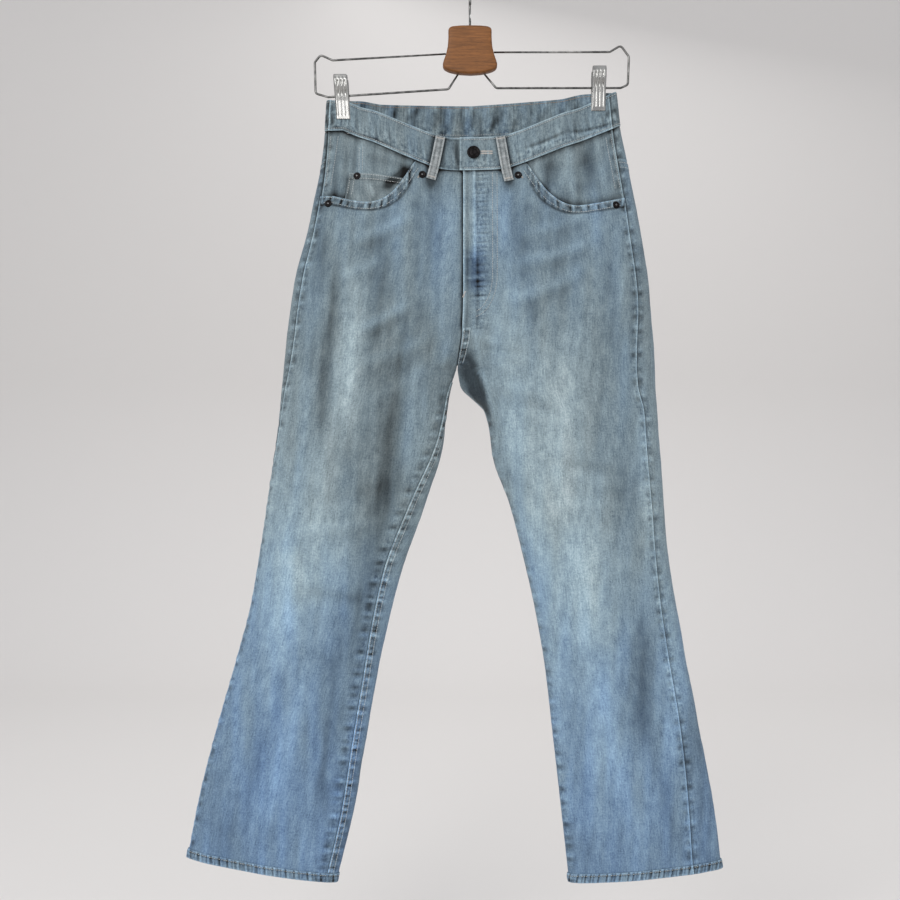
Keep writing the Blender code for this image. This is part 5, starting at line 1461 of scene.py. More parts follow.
def band_on(half, v, first, second, name, node_name, material, waves=15.0, wall=0.7):
    """A narrow felled band between two runs of s, roped lightly between its rows of stitches."""
    part = np.linspace(0.0, 1.0, 9)
    s = first[:, None] + (second - first)[:, None] * part
    skin = Skin(half, s, np.repeat(v[:, None], len(part), axis=1))
    light, blue, _ = skin.colouring()
    edge = np.minimum(part, 1.0 - part) * FELL_WIDTH
    arch = np.sin(math.pi * part)
    roped = 0.55 * pucker(v, waves, 81)[:, None] + pucker(v, 0.45 * waves, 82)[:, None] * arch
    # Roping along the band, partly wear and partly painted shade; pale worn edges with a painted dark line of
    # shade just inside them
    light += 0.08 * roped + bells(edge, (0.20, 1.4, 0.0), (-0.07, 0.9, 2.8))
    lift = LAY_GAP + wall + rolled(edge, 0.4, 0.9) + 0.16 * roped * arch
    return cloth(name, skin.off(lift), skin.off(LAY_GAP), (part * FELL_WIDTH + 400.0, v[:, None]),
                 (light, blue, 0.7), material, [node_name])


def inseam_cloth(half, material):
    """Felled inseam on the back panel's inner edge."""
    v = np.linspace(12.4, 640.0, 240)
    edge = 2.0 + half.inseam(v)
    return band_on(half, v, edge - half.step(edge, v, FELL_WIDTH), edge, "inseam_cloth_" + half.name,
                   "inseam_fell_" + half.name, material)


def rise_cloth(name, node_name, half, low, high, back, material):
    """Felled seam at the centre front or the centre back."""
    v = np.linspace(low, high, int((high - low) / 2.8))
    if back:
        first = np.full(len(v), 1.996)
        second = 1.996 - half.step(np.full(len(v), 1.99), v, FELL_WIDTH)
    else:
        first = np.full(len(v), 0.004)
        second = 0.004 + half.step(np.full(len(v), 0.01), v, FELL_WIDTH)
    return band_on(half, v, first, second, name, node_name, material)


def fly_cloth(layer, low, thickness, reach, left_x, material):
    """A hidden layer of the fly, with the curved foot of the stitching."""
    heights = np.linspace(FLY_HIGH_Z, FLY_LOW_Z, 50)
    curve = np.clip((FLY_CURVE_Z - heights) / (FLY_CURVE_Z - FLY_LOW_Z), 0.0, 1.0)
    widths = reach * np.sqrt(np.clip(1.0 - curve ** 2, 0.06, 1.0))
    x = left_x + widths[:, None] * np.linspace(0.0, 1.0, 14)
    z = np.repeat(heights[:, None], 14, axis=1)
    outer = np.zeros(x.shape + (3,))
    inner = np.zeros(x.shape + (3,))
    light = np.zeros(x.shape)
    blue = np.zeros(x.shape)
    for half in HALVES:
        mine = (x < CENTRE_X) == (half is LEFT)
        s, v = half.locate(x, z)
        skin = Skin(half, s, np.minimum(v, V_WAIST - 0.3))
        tone = skin.colouring()
        outer[mine] = skin.off(low + thickness)[mine]
        inner[mine] = skin.off(low)[mine]
        light[mine] = tone[0][mine] - 0.03
        blue[mine] = tone[1][mine]
    return cloth(layer + "_cloth", outer, inner, (x, z), (light, blue, 0.0), material, [layer])


def waistband_cloth(material):
    """Waistband: one strip from its buttonhole end round the back to its underlapped end, with a rolled
    top, a piped lower edge and upright puckers between its two rows of stitches."""
    flap_s = float(LEFT.locate(FLAP_X, -218.0)[0])
    under_s = float(RIGHT.locate(UNDERLAP_X, -218.0)[0])
    down = BAND_WALL + 0.5
    turn = np.linspace(0.0005, 1.9995, 300)
    behind = np.linspace(1.9995, flap_s + 0.012, 300)
    tuck = down * (1.0 - ease(behind, flap_s + 0.02, flap_s + 0.12))
    runs = (
        (LEFT, np.linspace(flap_s, 0.0005, 4), np.zeros(4)),
        (RIGHT, turn, np.zeros(300)),
        (LEFT, behind, tuck),
        (LEFT, np.linspace(flap_s + 0.010, 0.0005, 4), np.full(4, down)),
        (RIGHT, np.linspace(0.002, under_s, 14), np.full(14, down)),
    )
    rows = np.concatenate([[V_WAIST + 0.15, V_WAIST + 0.9, V_WAIST + 1.9, V_WAIST + 3.2],
                           np.linspace(V_WAIST + 5.0, V_TOP - 5.0, 20),
                           [V_TOP - 3.2, V_TOP - 1.9, V_TOP - 0.9, V_TOP]])
    grids = {"outer": [], "inner": [], "light": [], "blue": [], "worn": []}
    skins = []
    for half, s, lowered in runs:
        skin = Skin(half, *np.meshgrid(s, rows))
        skins.append((skin, np.repeat(lowered[None, :], len(rows), axis=0)))
    middle = np.concatenate([skin.place[14] for skin, _ in skins])
    run = np.concatenate([[0.0], np.cumsum(np.linalg.norm(np.diff(middle, axis=0), axis=1))])
    first = 0
    for skin, lowered in skins:
        along = run[None, first:first + skin.s.shape[1]]
        first += skin.s.shape[1]
        edge = np.minimum(skin.v - V_WAIST - 0.15, V_TOP - skin.v)
        between = bell(skin.v - V_WAIST, 12.0, 15.0)
        waves = pucker(along + 0.25 * skin.v, 10.5, 91) + 0.6 * pucker(along, 5.0, 92)
        lift = BAND_OUT - lowered + rolled(edge, 0.6, 1.2) + 0.2 * waves * between
        lift = lift - 0.22 * bell(edge, 0.9, 3.0)
        grids["outer"].append(skin.off(lift))
        grids["inner"].append(skin.off(BAND_OUT - lowered - BAND_WALL - 0.5 * rolled(edge, 0.6, 1.2)))
        light, blue, worn = skin.colouring()
        low = bell(skin.v - V_WAIST, 6.0, 8.0)
        grids["worn"].append(np.maximum(worn, 0.25 + 0.6 * low))
        # Puckers between the rows, partly wear and partly painted shade; pale worn edges
        light += 0.03 * waves * between + 0.17 * bell(edge, 1.4)
        # A painted dark line of shade in the groove of each row of stitches
        grids["light"].append(light - 0.06 * bell(edge, 1.1, 3.6))
        grids["blue"].append(blue)
    outer, inner, light, blue, worn = (np.concatenate(grids[key], axis=1) for key in grids)
    ends = np.minimum(run, run[-1] - run)[None, :]
    light += 0.15 * bell(ends, 1.6)
    inside = np.stack([run[None, :] + 0.0 * light, 0.3 * rows[:, None] + 0.0 * light, 0.0 * light], axis=-1)
    deep = np.minimum(ripples(inside, 13.0, 93), 0.4) + 0.5 * ripples(inside, 4.5, 94)
    wrong_side = (0.185 + 0.05 * deep, 0.48 + 0.12 * ripples(inside, 19.0, 96))
    return cloth("waistband_cloth", outer, inner, (run[None, :], rows[:, None]), (light, blue, worn),
                 material, ["waistband"], inside_dye=wrong_side)


def loop_cloth(key, places, stand, material):
    """A belt loop: a strap with rolled sides, from (half, s, v) columns and its height off the cloth."""
    part = np.linspace(0.0, 1.0, len(places))
    side = np.minimum(part, 1.0 - part) * LOOP_WIDTH
    lift = stand[:, None] + LOOP_WALL + rolled(side, 0.55, 1.0)
    skins = [Skin(*place) for place in places]
    outer = np.stack([skin.off(height) for skin, height in zip(skins, lift.T)], axis=1)
    inner = np.stack([skin.off(stand) for skin in skins], axis=1)
    waves = 0.02 * pucker(skins[0].v, 7.0, 95)[:, None]
    # Pale worn edges, with a painted dark line of shade just inside them
    light = 0.235 + waves + bells(side, (0.13, 1.3, 0.0), (-0.09, 1.1, 3.1))
    uv = (part * LOOP_WIDTH + 200.0, run_along(outer[:, 0])[:, None])
    return cloth("belt_loop_cloth_" + key, outer, inner, uv, (light, -0.45, 0.3), material,
                 ["belt_loop_" + key])


LOOPS = {
    "front_left": (LEFT, -38.5, -51.5, False),
    "front_right": (RIGHT, 39.0, 51.0, False),
    "rear_left": (LEFT, -108.0, -112.0, True),
    "rear_right": (RIGHT, 110.0, 114.0, True),
}
LOOP_PARTS = np.linspace(0.0, 1.0, 44)

# Rivets: x and z, and how far the cloth under each lies below the panel's face
RIVETS = {
    "left_inner": (LEFT, -62.0, -246.0, 0.0),
    "left_outer": (LEFT, -185.0, -281.0, 0.0),
    "coin": (LEFT, -147.5, -245.5, FACING_DEPTH["left"] - 1.3),
    "right_inner": (RIGHT, 62.0, -246.5, 0.0),
    "right_outer": (RIGHT, 190.0, -283.0, 0.0),
}
# Turned profiles from front to foot: shares of the radius with heights, and the nub's in millimetres
BUTTON_PROFILE = (
    (0.0, 3.55), (0.2, 3.6), (0.42, 3.75), (0.5, 3.65), (0.54, 3.35), (0.62, 3.3), (0.70, 3.4), (0.76, 3.85),
    (0.84, 4.1), (0.93, 3.95), (0.99, 3.4), (1.0, 3.0), (0.95, 2.3), (0.8, 2.0), (0.6, 1.75), (0.47, 1.5),
    (0.45, 0.8), (0.45, 0.0), (0.0, 0.0),
)
RIVET_PROFILE = (
    (0.0, 1.4), (0.22, 1.38), (0.34, 1.2), (0.42, 0.85), (0.5, 0.75), (0.6, 0.95), (0.72, 1.2), (0.84, 1.15),
    (0.95, 0.75), (1.0, 0.4), (1.0, 0.0), (0.0, 0.0),
)
NUB_PROFILE = ((0.0, 1.75), (0.8, 1.7), (1.15, 1.5), (1.2, 1.2), (0.0, 1.2))


def loop_middle(half, top_x, foot_x, back):
    """s and v down the middle of a belt loop, and the s that its half width takes."""
    top_s = float(half.locate(top_x, -160.0 if back else -200.0, back)[0])
    foot_s = float(half.locate(foot_x, -205.0 if back else -262.0, back)[0])
    v = LOOP_TOP_V + (LOOP_FOOT_V - LOOP_TOP_V) * LOOP_PARTS
    middle = top_s + (foot_s - top_s) * LOOP_PARTS
    return middle, v, half.step(middle, v, LOOP_WIDTH / 2)


def loop_stand():
    """How far a belt loop stands off the cloth down its length."""
    return through(LOOP_STATIONS, LOOP_STAND, LOOP_PARTS)


def sew_band(thread, brown):
    """Rows along both edges of the waistband, and the row that shows inside its back."""
    flap_s = float(LEFT.locate(FLAP_X, -218.0)[0]) + 0.004
    for v in (V_TOP - 3.0, V_WAIST + 3.1):
        thread.row(RIGHT, np.linspace(0.002, 1.998, 500), v, BAND_OUT - 0.1)
        thread.row(LEFT, np.linspace(1.998, flap_s + 0.1, 480), v, BAND_OUT - 0.1)
        inside = brown if v > V_WAIST + 9.0 else thread
        for half in HALVES:
            inside.row(half, np.linspace(1.12, 1.995, 240), v, BAND_OUT - BAND_WALL - 0.05, turned=-1.0)


def sew_leg(thread, half):
    """Rows of one half's own panels: inseam, hem, yoke and hip."""
    v = np.linspace(14.0, 636.0, 320)
    thread.beside(half, 2.0 + half.inseam(v), v, (-1.7, -8.3), LAY_GAP + 0.75)
    level = np.array([HEM_ROW_V])
    for start, end in (front_edges(half, level), back_edges(half, level)):
        s = np.linspace(float(start[0]) + 0.003, float(end[0]) - 0.003, 200)
        thread.row(half, s, HEM_ROW_V, LAY_GAP + HEM_WALL - 0.2)
    share = np.linspace(0.005, 0.995, 160)
    for drop in (2.0, 8.2):
        v = yoke_level(share) - drop
        start, end = back_edges(half, v)
        thread.row(half, start + (end - start) * share, v, 0.2)
    v = np.linspace(903.0, 972.0, 40)
    thread.beside(half, half.outseam(v), v, (-3.0, -9.0), -FACING_DEPTH[half.name] + 0.1)


def sew_mouth(thread, half):
    """The twin row below one front pocket's mouth, square to its curve."""
    start, end = front_edges(half, np.full(400, PANEL_TOP_V))
    share = np.linspace(0.0, 1.0, 400)
    top = front_top(half, share)
    on_mouth = top < V_WAIST - 8.0
    start, end = front_edges(half, top)
    edge = half.at((start + (end - start) * share)[on_mouth], top[on_mouth])
    inward = np.cross((0.0, 1.0, 0.0), unit(np.gradient(edge, axis=0))) * half.sign
    for distance in (2.0, 9.0):
        place = edge + inward * distance
        keep = np.abs(place[:, 0] - CENTRE_X) < np.abs(edge[-1, 0] - CENTRE_X) - 2.0
        thread.row(half, *half.locate(place[keep, 0], place[keep, 2]), 0.45)


def sew_back_pocket(thread, half):
    """The twin rows down, round and up a back pocket, and the two across its top."""
    for inset in (2.2, 8.4):
        side = 1.0 - 2.0 * inset / POCKET_TOP_WIDTH
        down = np.linspace(0.006, 1.0 - inset / POCKET_SIDE_HEIGHT, 60)
        for sides, downs in ((-side, down), (np.linspace(-side, side, 60), down[-1]), (side, down[::-1])):
            x, drop, _ = pocket_border(*np.broadcast_arrays(sides, downs))
            s, v = half.locate(POCKET_X[half.name] + x, POCKET_TOP_Z - drop, back=True)
            thread.row(half, s, v, LAY_GAP + POCKET_WALL)
    x = np.linspace(-0.97, 0.97, 60) * POCKET_TOP_WIDTH / 2
    for drop in (2.4, 15.0):
        s, v = half.locate(POCKET_X[half.name] + x, POCKET_TOP_Z - drop, back=True)
        thread.row(half, s, v, LAY_GAP + POCKET_WALL + 0.3)


def sew_fly(thread):
    """The fly's curved double row, and the felled centre seams in front and behind."""
    for reach in (36.5, 42.5):
        turn = np.linspace(0.0, math.pi / 2, 40)
        depth = 52.0 + reach - 36.5
        x = np.concatenate([np.full(60, reach), reach * np.cos(turn) ** 0.8])
        z = np.concatenate([np.linspace(-236.0, -375.0, 60), -375.0 - depth * np.sin(turn)])
        s, v = RIGHT.locate(x - 8.0, z)
        keep = v < V_WAIST - 2.0
        thread.row(RIGHT, s[keep], v[keep], 0.2)
    v = np.linspace(663.0, 714.0, 40)
    thread.beside(RIGHT, 0.004, v, (1.9, 8.6), LAY_GAP + 0.75, 0.01)
    v = np.linspace(663.0, 968.0, 150)
    thread.beside(LEFT, 1.996, v, (-1.9, -8.6), LAY_GAP + 0.75, 1.99)


def sew_coin_pocket(thread):
    """The rows along the top and down the outer side of the coin pocket, and two above it."""
    depth = FACING_DEPTH["left"]
    off = 0.3 - depth + POCKET_WALL
    inner_s, inner_v = (float(value) for value in LEFT.locate(*COIN_INNER))
    outer_s, outer_v = (float(value) for value in LEFT.locate(*COIN_OUTER))
    share = np.linspace(0.02, 0.98, 40)
    for drop in (2.0, 8.0):
        level = inner_v + (outer_v - inner_v) * share - drop
        thread.row(LEFT, inner_s + (outer_s - inner_s) * share, level, off)
    v = np.linspace(outer_v - 30.0, outer_v - 2.0, 20)
    thread.beside(LEFT, outer_s, v, (-2.0, -7.8), off)
    for x in (-145.5, -141.0):
        thread.row(LEFT, *LEFT.locate(x, np.linspace(-206.0, -238.0, 20)), 0.1 - depth)


def sew_bars(pale):
    """The bar tacks of the fly and the pocket mouths, and both sides of the buttonhole."""
    pale.tack(RIGHT, -8.0, -402.0, 20.0, 9.0, 2.4, 0.6)
    pale.tack(LEFT, -66.0, -247.0, 30.0, 8.0, 2.0, 0.5)
    pale.tack(RIGHT, 66.0, -247.0, -30.0, 8.0, 2.0, 0.5)
    s, v = RIGHT.locate(np.linspace(13.5, 28.5, 34), -216.6)
    for shift in (-1.3, 1.3):
        pale.bar(Skin(RIGHT, s, v + shift), BAND_OUT + 0.05, 2.2, 0.55, 0.7)


def sew_loops(thread, pale):
    """Rows down both sides of every belt loop and a bar tack at each end."""
    stand = loop_stand() + LOOP_WALL
    for half, top_x, foot_x, back in LOOPS.values():
        middle, v, reach = loop_middle(half, top_x, foot_x, back)
        for share in (-0.72, 0.72):
            thread.row(half, middle + share * reach, v, stand - 0.05, 3.0, 2.3, 0.6)
        for index in (2, -4):
            s = middle[index] + np.linspace(-0.8, 0.8, 20) * reach[index]
            pale.bar(Skin(half, s, v[index]), stand[index], 2.0, 0.5, 0.8)


def jaw_surface(side, facing, drop):
    """Outer and inner grids of a clip's jaw: four raised ribs, slots above and teeth below."""
    x_top, z_top, tilt = CLIP_PLACES[side]
    lean = math.tan(math.radians(tilt))
    down, across = np.meshgrid(np.linspace(drop, CLIP_HEIGHT, 64), np.linspace(-0.5, 0.5, 57), indexing="ij")
    gape = np.interp(down, JAW_DOWN, JAW_OPEN)
    rib = 0.5 * np.clip(np.cos(8.0 * math.pi * across + math.pi) * 1.5, 0.0, 1.0)
    rib = rib * ease(down, 3.0, 6.0) * (1.0 - ease(down, 50.0, 54.0))
    slot = np.exp(-((np.abs(down - 17.0) - 6.0) / 3.0) ** 4) * (np.abs(across) < 0.44)
    slot = slot * np.clip(np.cos(8.0 * math.pi * across), 0.0, 1.0) ** 0.5
    cheek = 1.3 * ease(np.abs(across), 0.44, 0.5)
    tooth = 1.1 * np.abs(((across * 7.0) % 1.0) - 0.5) * ease(down, 52.0, 58.0)
    x = x_top + across * CLIP_WIDTH * (1.0 - 0.05 * (1.0 - ease(down, drop, drop + 3.0))) + down * lean
    z = z_top - down + tooth
    outer = np.stack([x, facing * (gape + JAW_WALL + rib - 0.85 * slot - cheek), z], axis=-1)
    inner = np.stack([x, facing * (gape - 0.6 * cheek * (gape > 4.0)), z], axis=-1)
    return outer, inner


def coil(side):
    """Path of a clip's spring round the lower rail: a helix of seven turns."""
    x_top, z_top, tilt = CLIP_PLACES[side]
    z = CLIP_RAIL_Z[side]
    x = x_top + (z_top - z) * math.tan(math.radians(tilt))
    axis = unit(np.array((1.0, 0.0, 0.066 if side == "left" else 0.0)))
    turn = np.linspace(0.0, 7.0 * 2.0 * math.pi, 170)
    along = np.linspace(-5.0, 5.0, 170)
    first = unit(np.cross(axis, (0.0, 1.0, 0.0)))
    circle = np.cos(turn)[:, None] * first + np.sin(turn)[:, None] * np.array((0.0, 1.0, 0.0))
    return np.array((x, 0.0, z)) + along[:, None] * axis + 3.3 * circle, circle


def block_surface():
    """Points and faces of the wooden block: its outline shrunk round a rounded rim, front to back."""
    half_outline = np.array(BLOCK_OUTLINE)
    outline = np.concatenate([half_outline, half_outline[-2:0:-1] * (-1.0, 1.0), half_outline[:1]])
    run = run_along(outline)
    ring = read_at(outline, run, np.linspace(0.0, run[-1], BLOCK_POINTS, endpoint=False))
    smooth = (ring + np.roll(ring, 1, axis=0) + np.roll(ring, -1, axis=0)) / 3.0
    middle = np.array((0.0, BLOCK_MIDDLE_Z))
    spoke = smooth - middle
    length = np.linalg.norm(spoke, axis=1, keepdims=True)
    face_y = BLOCK_THICKNESS / 2
    angle = np.linspace(-math.pi / 2, math.pi / 2, 15)
    rim_y = np.sin(angle)
    trim = BLOCK_RIM * (1.0 - np.cos(angle))
    levels = [(share, BLOCK_RIM, -face_y) for share in (0.35, 0.7)]
    levels += [(1.0, cut, np.sign(part) * (face_y - BLOCK_RIM) + part * BLOCK_RIM)
               for cut, part in zip(trim, np.where(np.abs(rim_y) < 1e-9, 0.0, rim_y))]
    levels += [(share, BLOCK_RIM, face_y) for share in (0.7, 0.35)]
    rows = []
    for share, cut, y in levels:
        at = middle + spoke * share * (1.0 - cut / length)
        rows.append(np.column_stack([at[:, 0], np.full(len(at), y), at[:, 1]]))
    points = np.array(rows)
    poles = np.array([[0.0, -face_y, BLOCK_MIDDLE_Z], [0.0, face_y, BLOCK_MIDDLE_Z]])
    index = np.arange(points.shape[0] * points.shape[1]).reshape(points.shape[:2])
    return np.concatenate([points.reshape(-1, 3), poles]), closed_on_poles(index)


def operator(name, label, words, run):
    """An operator class for one group of pieces, whose execute calls run with the look's settings."""

    def execute(self, context):
        run(context.scene.jeans_look)
        return {"FINISHED"}

    body = {"bl_idname": "jeans." + name, "bl_label": label, "bl_options": {"REGISTER", "UNDO"},
            "__doc__": words, "execute": execute}
    return type("JEANS_OT_" + name, (bpy.types.Operator,), body)


def amount(name, words, value, highest, **kind):
    """A setting that is a number."""
    return bpy.props.FloatProperty(name=name, description=words, default=value, min=0.0, max=highest, **kind)


def colour(name, words, value):
    """A setting that is a colour."""
    return bpy.props.FloatVectorProperty(name=name, description=words, default=value, size=3, subtype="COLOR")


class JeansLook(bpy.types.PropertyGroup):
    """Sizes and colours that a user would change."""

    twill_pitch: amount("Twill pitch", "Millimetres between twill lines", 1.0, 3.0)
    grain_contrast: amount("Grain contrast", "How strong the slubs and mottle are", 1.0, 2.0)
    thread_colour: colour("Thread", "Tonal topstitching thread", (0.50, 0.52, 0.51))
    pale_colour: colour("Pale thread", "Bar tacks and buttonhole", (0.58, 0.55, 0.51))
    metal_colour: colour("Aged metal", "Button and rivets", (0.0095, 0.0085, 0.0085))
    steel_colour: colour("Steel", "Hanger wire and clips", (0.34, 0.335, 0.32))
    wood_colour: colour("Wood", "Stain of the hanger's block", (0.235, 0.090, 0.023))
    stage_colour: colour("Stage", "Floor and backdrop", (0.695, 0.672, 0.65))
    key_power: amount("Key light", "Power of the large soft light", 52.0, 500.0, unit="POWER")


def make_fronts(look):
    """Front panels."""
    for half in HALVES:
        front_cloth(half, denim_material(look))


def make_backs(look):
    """Back panels and yokes."""
    for half in HALVES:
        back_cloth(half, denim_material(look))
        yoke_cloth(half, denim_material(look))


def make_pockets(look):
    """Pocket facings, coin pocket and back pockets."""
    for half in HALVES:
        facing_cloth(half, denim_material(look))
        back_pocket_cloth(half, denim_material(look))
    coin_pocket_cloth(denim_material(look))


def make_fly(look):
    """Fly facing, zip band and shield."""
    denim = denim_material(look)
    for name, low, wall, reach, left_x, material, slot in (
        ("facing", -DENIM - 1.6, 0.8, FLY_WIDTH, -9.0, denim, "denim_light"),
        ("zip", -DENIM - 2.8, 0.8, ZIP_WIDTH, -7.0, tape_material(), "zip_tape"),
        ("shield", -DENIM - 4.8, 1.6, FLY_WIDTH - 4.0, -12.0, denim, "denim_light"),
    ):
        fly_cloth("fly_" + name, low, wall, reach, left_x, material)


def make_fells(look):
    """Felled seams and hems."""
    denim = denim_material(look)
    for half in HALVES:
        inseam_cloth(half, denim)
        hem_cloth(half, denim)
    rise_cloth("front_rise_cloth", "front_rise_fell", RIGHT, 661.0, 716.0, False, denim)
    rise_cloth("back_rise_cloth", "back_rise_fell", LEFT, 661.0, 902.0, True, denim)


def make_band(look):
    """Waistband."""
    waistband_cloth(denim_material(look))


def make_loops(look):
    """Five belt loops."""
    denim = denim_material(look)
    for key, (half, top_x, foot_x, back) in LOOPS.items():
        middle, v, reach = loop_middle(half, top_x, foot_x, back)
        places = [(half, middle + share * reach, v) for share in np.linspace(-1.0, 1.0, 13)]
        loop_cloth(key, places, loop_stand(), denim)
    v = LOOP_TOP_V + (LOOP_FOOT_V - LOOP_TOP_V) * LOOP_PARTS
    stand = loop_stand() + 1.2 * ease(LOOP_PARTS, 0.62, 0.76)
    reach = RIGHT.step(np.full(len(v), 1.98), v, LOOP_WIDTH / 2)
    places = [(LEFT, 2.0 - share * reach, v) for share in np.linspace(1.0, 0.17, 6)]
    places += [(RIGHT, 2.0 - np.maximum(share * reach, 0.001), v) for share in np.linspace(0.0, 1.0, 7)]
    loop_cloth("back", places, stand, denim)


def make_sewing(look):
    """Rows of stitches, bar tacks and the buttonhole."""
    thread, pale, brown = Thread(), Thread(), Thread()
    sew_band(thread, brown)
    for half in HALVES:
        sew_leg(thread, half)
        sew_mouth(thread, half)
        sew_back_pocket(thread, half)
    sew_fly(thread)
    sew_coin_pocket(thread)
    sew_bars(pale)
    sew_loops(thread, pale)
    thread.build("topstitching", thread_material("tonal_thread", look.thread_colour))
    pale.build("bar_tacks", thread_material("pale_thread", look.pale_colour))
    brown.build("inner_row", thread_material("brown_thread", (0.34, 0.20, 0.11)))


def turned(profile, radius):
    """A turned piece's profile from shares of its radius and heights."""
    return [(share * radius, height) for share, height in profile]


def make_metal(look):
    """Waist button and five rivets."""
    metal = metal_material("aged_metal_finish", look.metal_colour, [2.2 * c for c in look.metal_colour], 0.42,
                           420.0, 0.0002)
    # The rivets' central nubs are a paler metal, which gives each rivet its light dot
    nub = metal_material("pale_metal_nub", [0.10, 0.10, 0.10], [0.22, 0.215, 0.21], 0.4, 420.0, 0.0001)
    skin = Skin(RIGHT, *RIGHT.locate(*BUTTON_PLACE))
    radius = BUTTON_DIAMETER / 2
    lathe("waist_button_cap", turned(BUTTON_PROFILE, radius), 64,
          skin.place + (BAND_OUT + SEAM_GAP) * skin.out, skin.out, metal, ["waist_button"],
          0.07, 28, radius * 0.84)
    radius = RIVET_DIAMETER / 2
    for name, (half, x, z, lower) in RIVETS.items():
        skin = Skin(half, *half.locate(x, z))
        place = skin.off(np.array(SEAM_GAP - lower + 0.25))
        lathe("rivet_nub_" + name, NUB_PROFILE, 24, place, skin.out, nub, ["rivet_" + name])
        lathe("rivet_head_" + name, turned(RIVET_PROFILE, radius), 40, place, skin.out, metal,
              ["rivet_" + name], 0.04, 16, radius * 0.76)


def make_hanger(look):
    """Hook, arms, wooden block, clip jaws and springs."""
    base, bright, dull, lit = ([share * c for c in look.steel_colour] for share in (0.95, 1.0925, 0.28, 0.7))
    steel = metal_material("satin_steel", base, bright, 0.3, 90.0, 0.00001)
    wire = metal_material("drawn_wire", dull, lit, 0.34, 120.0, 0.00001)
    radius = HOOK_INNER_RADIUS + WIRE / 2
    angles = np.radians(np.linspace(-62.0, 205.0, 70))
    crook_z = WIRE / 2 - radius + radius * np.sin(angles)
    crook = np.stack([np.zeros(70), radius * np.cos(angles), crook_z], axis=1)
    shank = rounded_path([(0.0, 0.0, BLOCK_TOP_Z - 0.6), (0.0, 0.0, BLOCK_TOP_Z + 6.0), (0.0, 2.4, -34.5),
                          tuple(crook[0])], 6.0)[:-1]
    tube("hook_wire", np.concatenate([shank, crook]), WIRE / 2, 14, (1.0, 0.0, 0.0), wire,
         ["hanger_hook"])
    for side in ("left", "right"):
        corners = [(x, 0.0, z) for x, z in ARM_CORNERS[side]]
        tube("arm_wire_" + side, rounded_path(corners, ARM_BEND), WIRE / 2, 14, (0.0, 1.0, 0.0), wire,
             ["hanger_arm_" + side])
        for part, facing, drop in (("front", -1.0, 0.0), ("back", 1.0, 3.0)):
            outer, inner = jaw_surface(side, facing, drop)
            points = np.concatenate([outer.reshape(-1, 3), inner.reshape(-1, 3)])
            obj = build_mesh("jaw_%s_%s" % (part, side), points, shell_faces(*outer.shape[:2]))
            dress(obj, steel, ["clip_%s_%s" % (part, side)])
        path, outward = coil(side)
        tube("spring_coil_" + side, path, 0.6, 8, outward, steel, ["clip_spring_" + side])
    points, faces = block_surface()
    dress(build_mesh("wooden_block", points, faces), wood_material(look), ["hanger_block"])


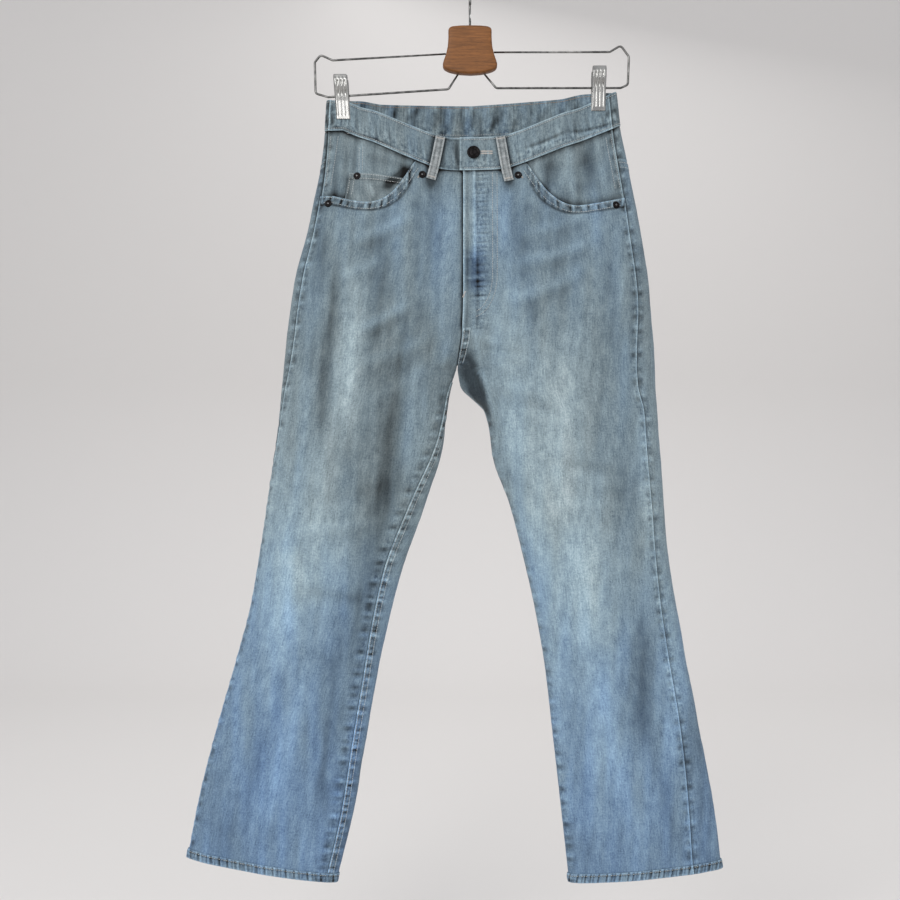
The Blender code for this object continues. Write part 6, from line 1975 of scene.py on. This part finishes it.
def make_stage(look):
    """A pale floor that sweeps up behind, soft studio light and the photograph's camera."""
    across, along = np.meshgrid(np.linspace(-9000.0, 9000.0, 24), np.linspace(0.0, 1.0, 90), indexing="ij")
    turn = np.clip((along - 0.55) / 0.25, 0.0, 1.0) * math.pi / 2
    y = np.where(along < 0.55, -7000.0 + 9400.0 * along / 0.55, 2400.0 + 1100.0 * np.sin(turn))
    z = -1400.0 + 1100.0 * (1.0 - np.cos(turn)) + 5200.0 * np.clip((along - 0.8) / 0.2, 0.0, 1.0)
    face = quads(np.arange(across.size).reshape(across.shape))[:, ::-1].tolist()
    mesh = bpy.data.meshes.new("floor")
    mesh.from_pydata((np.stack([across, y, z], axis=-1).reshape(-1, 3) * MM).tolist(), [], face)
    mesh.shade_smooth()
    floor = bpy.data.objects.new("floor", mesh)
    material, _, shader = bare_material("plain_stage")
    feed(shader, {"Base Color": opaque(look.stage_colour), "Roughness": 0.95, "Specular IOR Level": 0.1})
    mesh.materials.append(material)
    bpy.context.scene.collection.objects.link(floor)
    world = bpy.data.worlds.new("soft_room")
    world.use_nodes = True
    feed(world.node_tree.nodes["Background"], {"Color": (0.93, 0.95, 1.0, 1.0), "Strength": 0.72})
    bpy.context.scene.world = world
    bpy.context.scene.view_settings.view_transform = "Standard"
    for name, place, aim, size, share in (
        ("key", (-1.25, -2.5, 0.5), (0.0, 0.0, -0.62), 1.5, 1.0),
        ("fill", (2.4, -2.2, 0.1), (0.0, 0.0, -0.65), 2.2, 0.3),
        ("rear", (0.5, 2.3, 2.2), (0.0, 0.0, -0.6), 2.4, 1.0),
    ):
        lamp = bpy.data.lights.new(name, "AREA")
        lamp.size = size
        lamp.energy = look.key_power * share
        light = bpy.data.objects.new(name, lamp)
        light.location = place
        direction = unit(np.array(aim) - np.array(place))
        light.rotation_mode = "QUATERNION"
        light.rotation_quaternion = Vector(direction).to_track_quat("-Z", "Y")
        bpy.context.scene.collection.objects.link(light)
    lens = bpy.data.cameras.new("photo_camera")
    lens.sensor_width = 36.0
    lens.lens = 49.23
    camera = bpy.data.objects.new("photo_camera", lens)
    camera.location = (-0.0263, -1.62, -0.6023)
    camera.rotation_euler = (math.pi / 2, 0.0, 0.0)
    bpy.context.scene.collection.objects.link(camera)
    bpy.context.scene.camera = camera


PIECES = (
    ("fronts", "Front panels", make_fronts),
    ("backs", "Back panels and yokes", make_backs),
    ("pockets", "Pockets", make_pockets),
    ("fly", "Fly layers", make_fly),
    ("fells", "Felled seams and hems", make_fells),
    ("band", "Waistband", make_band),
    ("loops", "Belt loops", make_loops),
    ("sewing", "Sewing", make_sewing),
    ("metal", "Button and rivets", make_metal),
    ("hanger", "Hanger", make_hanger),
    ("stage", "Stage", make_stage),
)
OPERATORS = [operator(name, label, run.__doc__, run) for name, label, run in PIECES]


class JEANS_PT_pieces(bpy.types.Panel):
    """Lists the operators and the look's settings."""

    bl_label = "Jeans"
    bl_idname = "JEANS_PT_pieces"
    bl_space_type = "VIEW_3D"
    bl_region_type = "UI"
    bl_category = "Jeans"

    def draw(self, context):
        for setting in JeansLook.__annotations__:
            self.layout.prop(context.scene.jeans_look, setting)
        for made in OPERATORS:
            self.layout.operator(made.bl_idname)


CLASSES = [JeansLook, *OPERATORS, JEANS_PT_pieces]


def register():
    """Register the classes and the settings."""
    for one in CLASSES:
        bpy.utils.register_class(one)
    bpy.types.Scene.jeans_look = bpy.props.PointerProperty(type=JeansLook)


def unregister():
    """Remove what register added."""
    del bpy.types.Scene.jeans_look
    for one in reversed(CLASSES):
        bpy.utils.unregister_class(one)


def main():
    """Make every piece in order, then write how large the CAD part and the dressed part are."""
    register()
    for name in ("Cube", "Light", "Camera"):
        if name in bpy.data.objects:
            bpy.data.objects.remove(bpy.data.objects[name], do_unlink=True)
    for name, _, _ in PIECES:
        getattr(bpy.ops.jeans, name)()


if __name__ == "__main__":
    main()
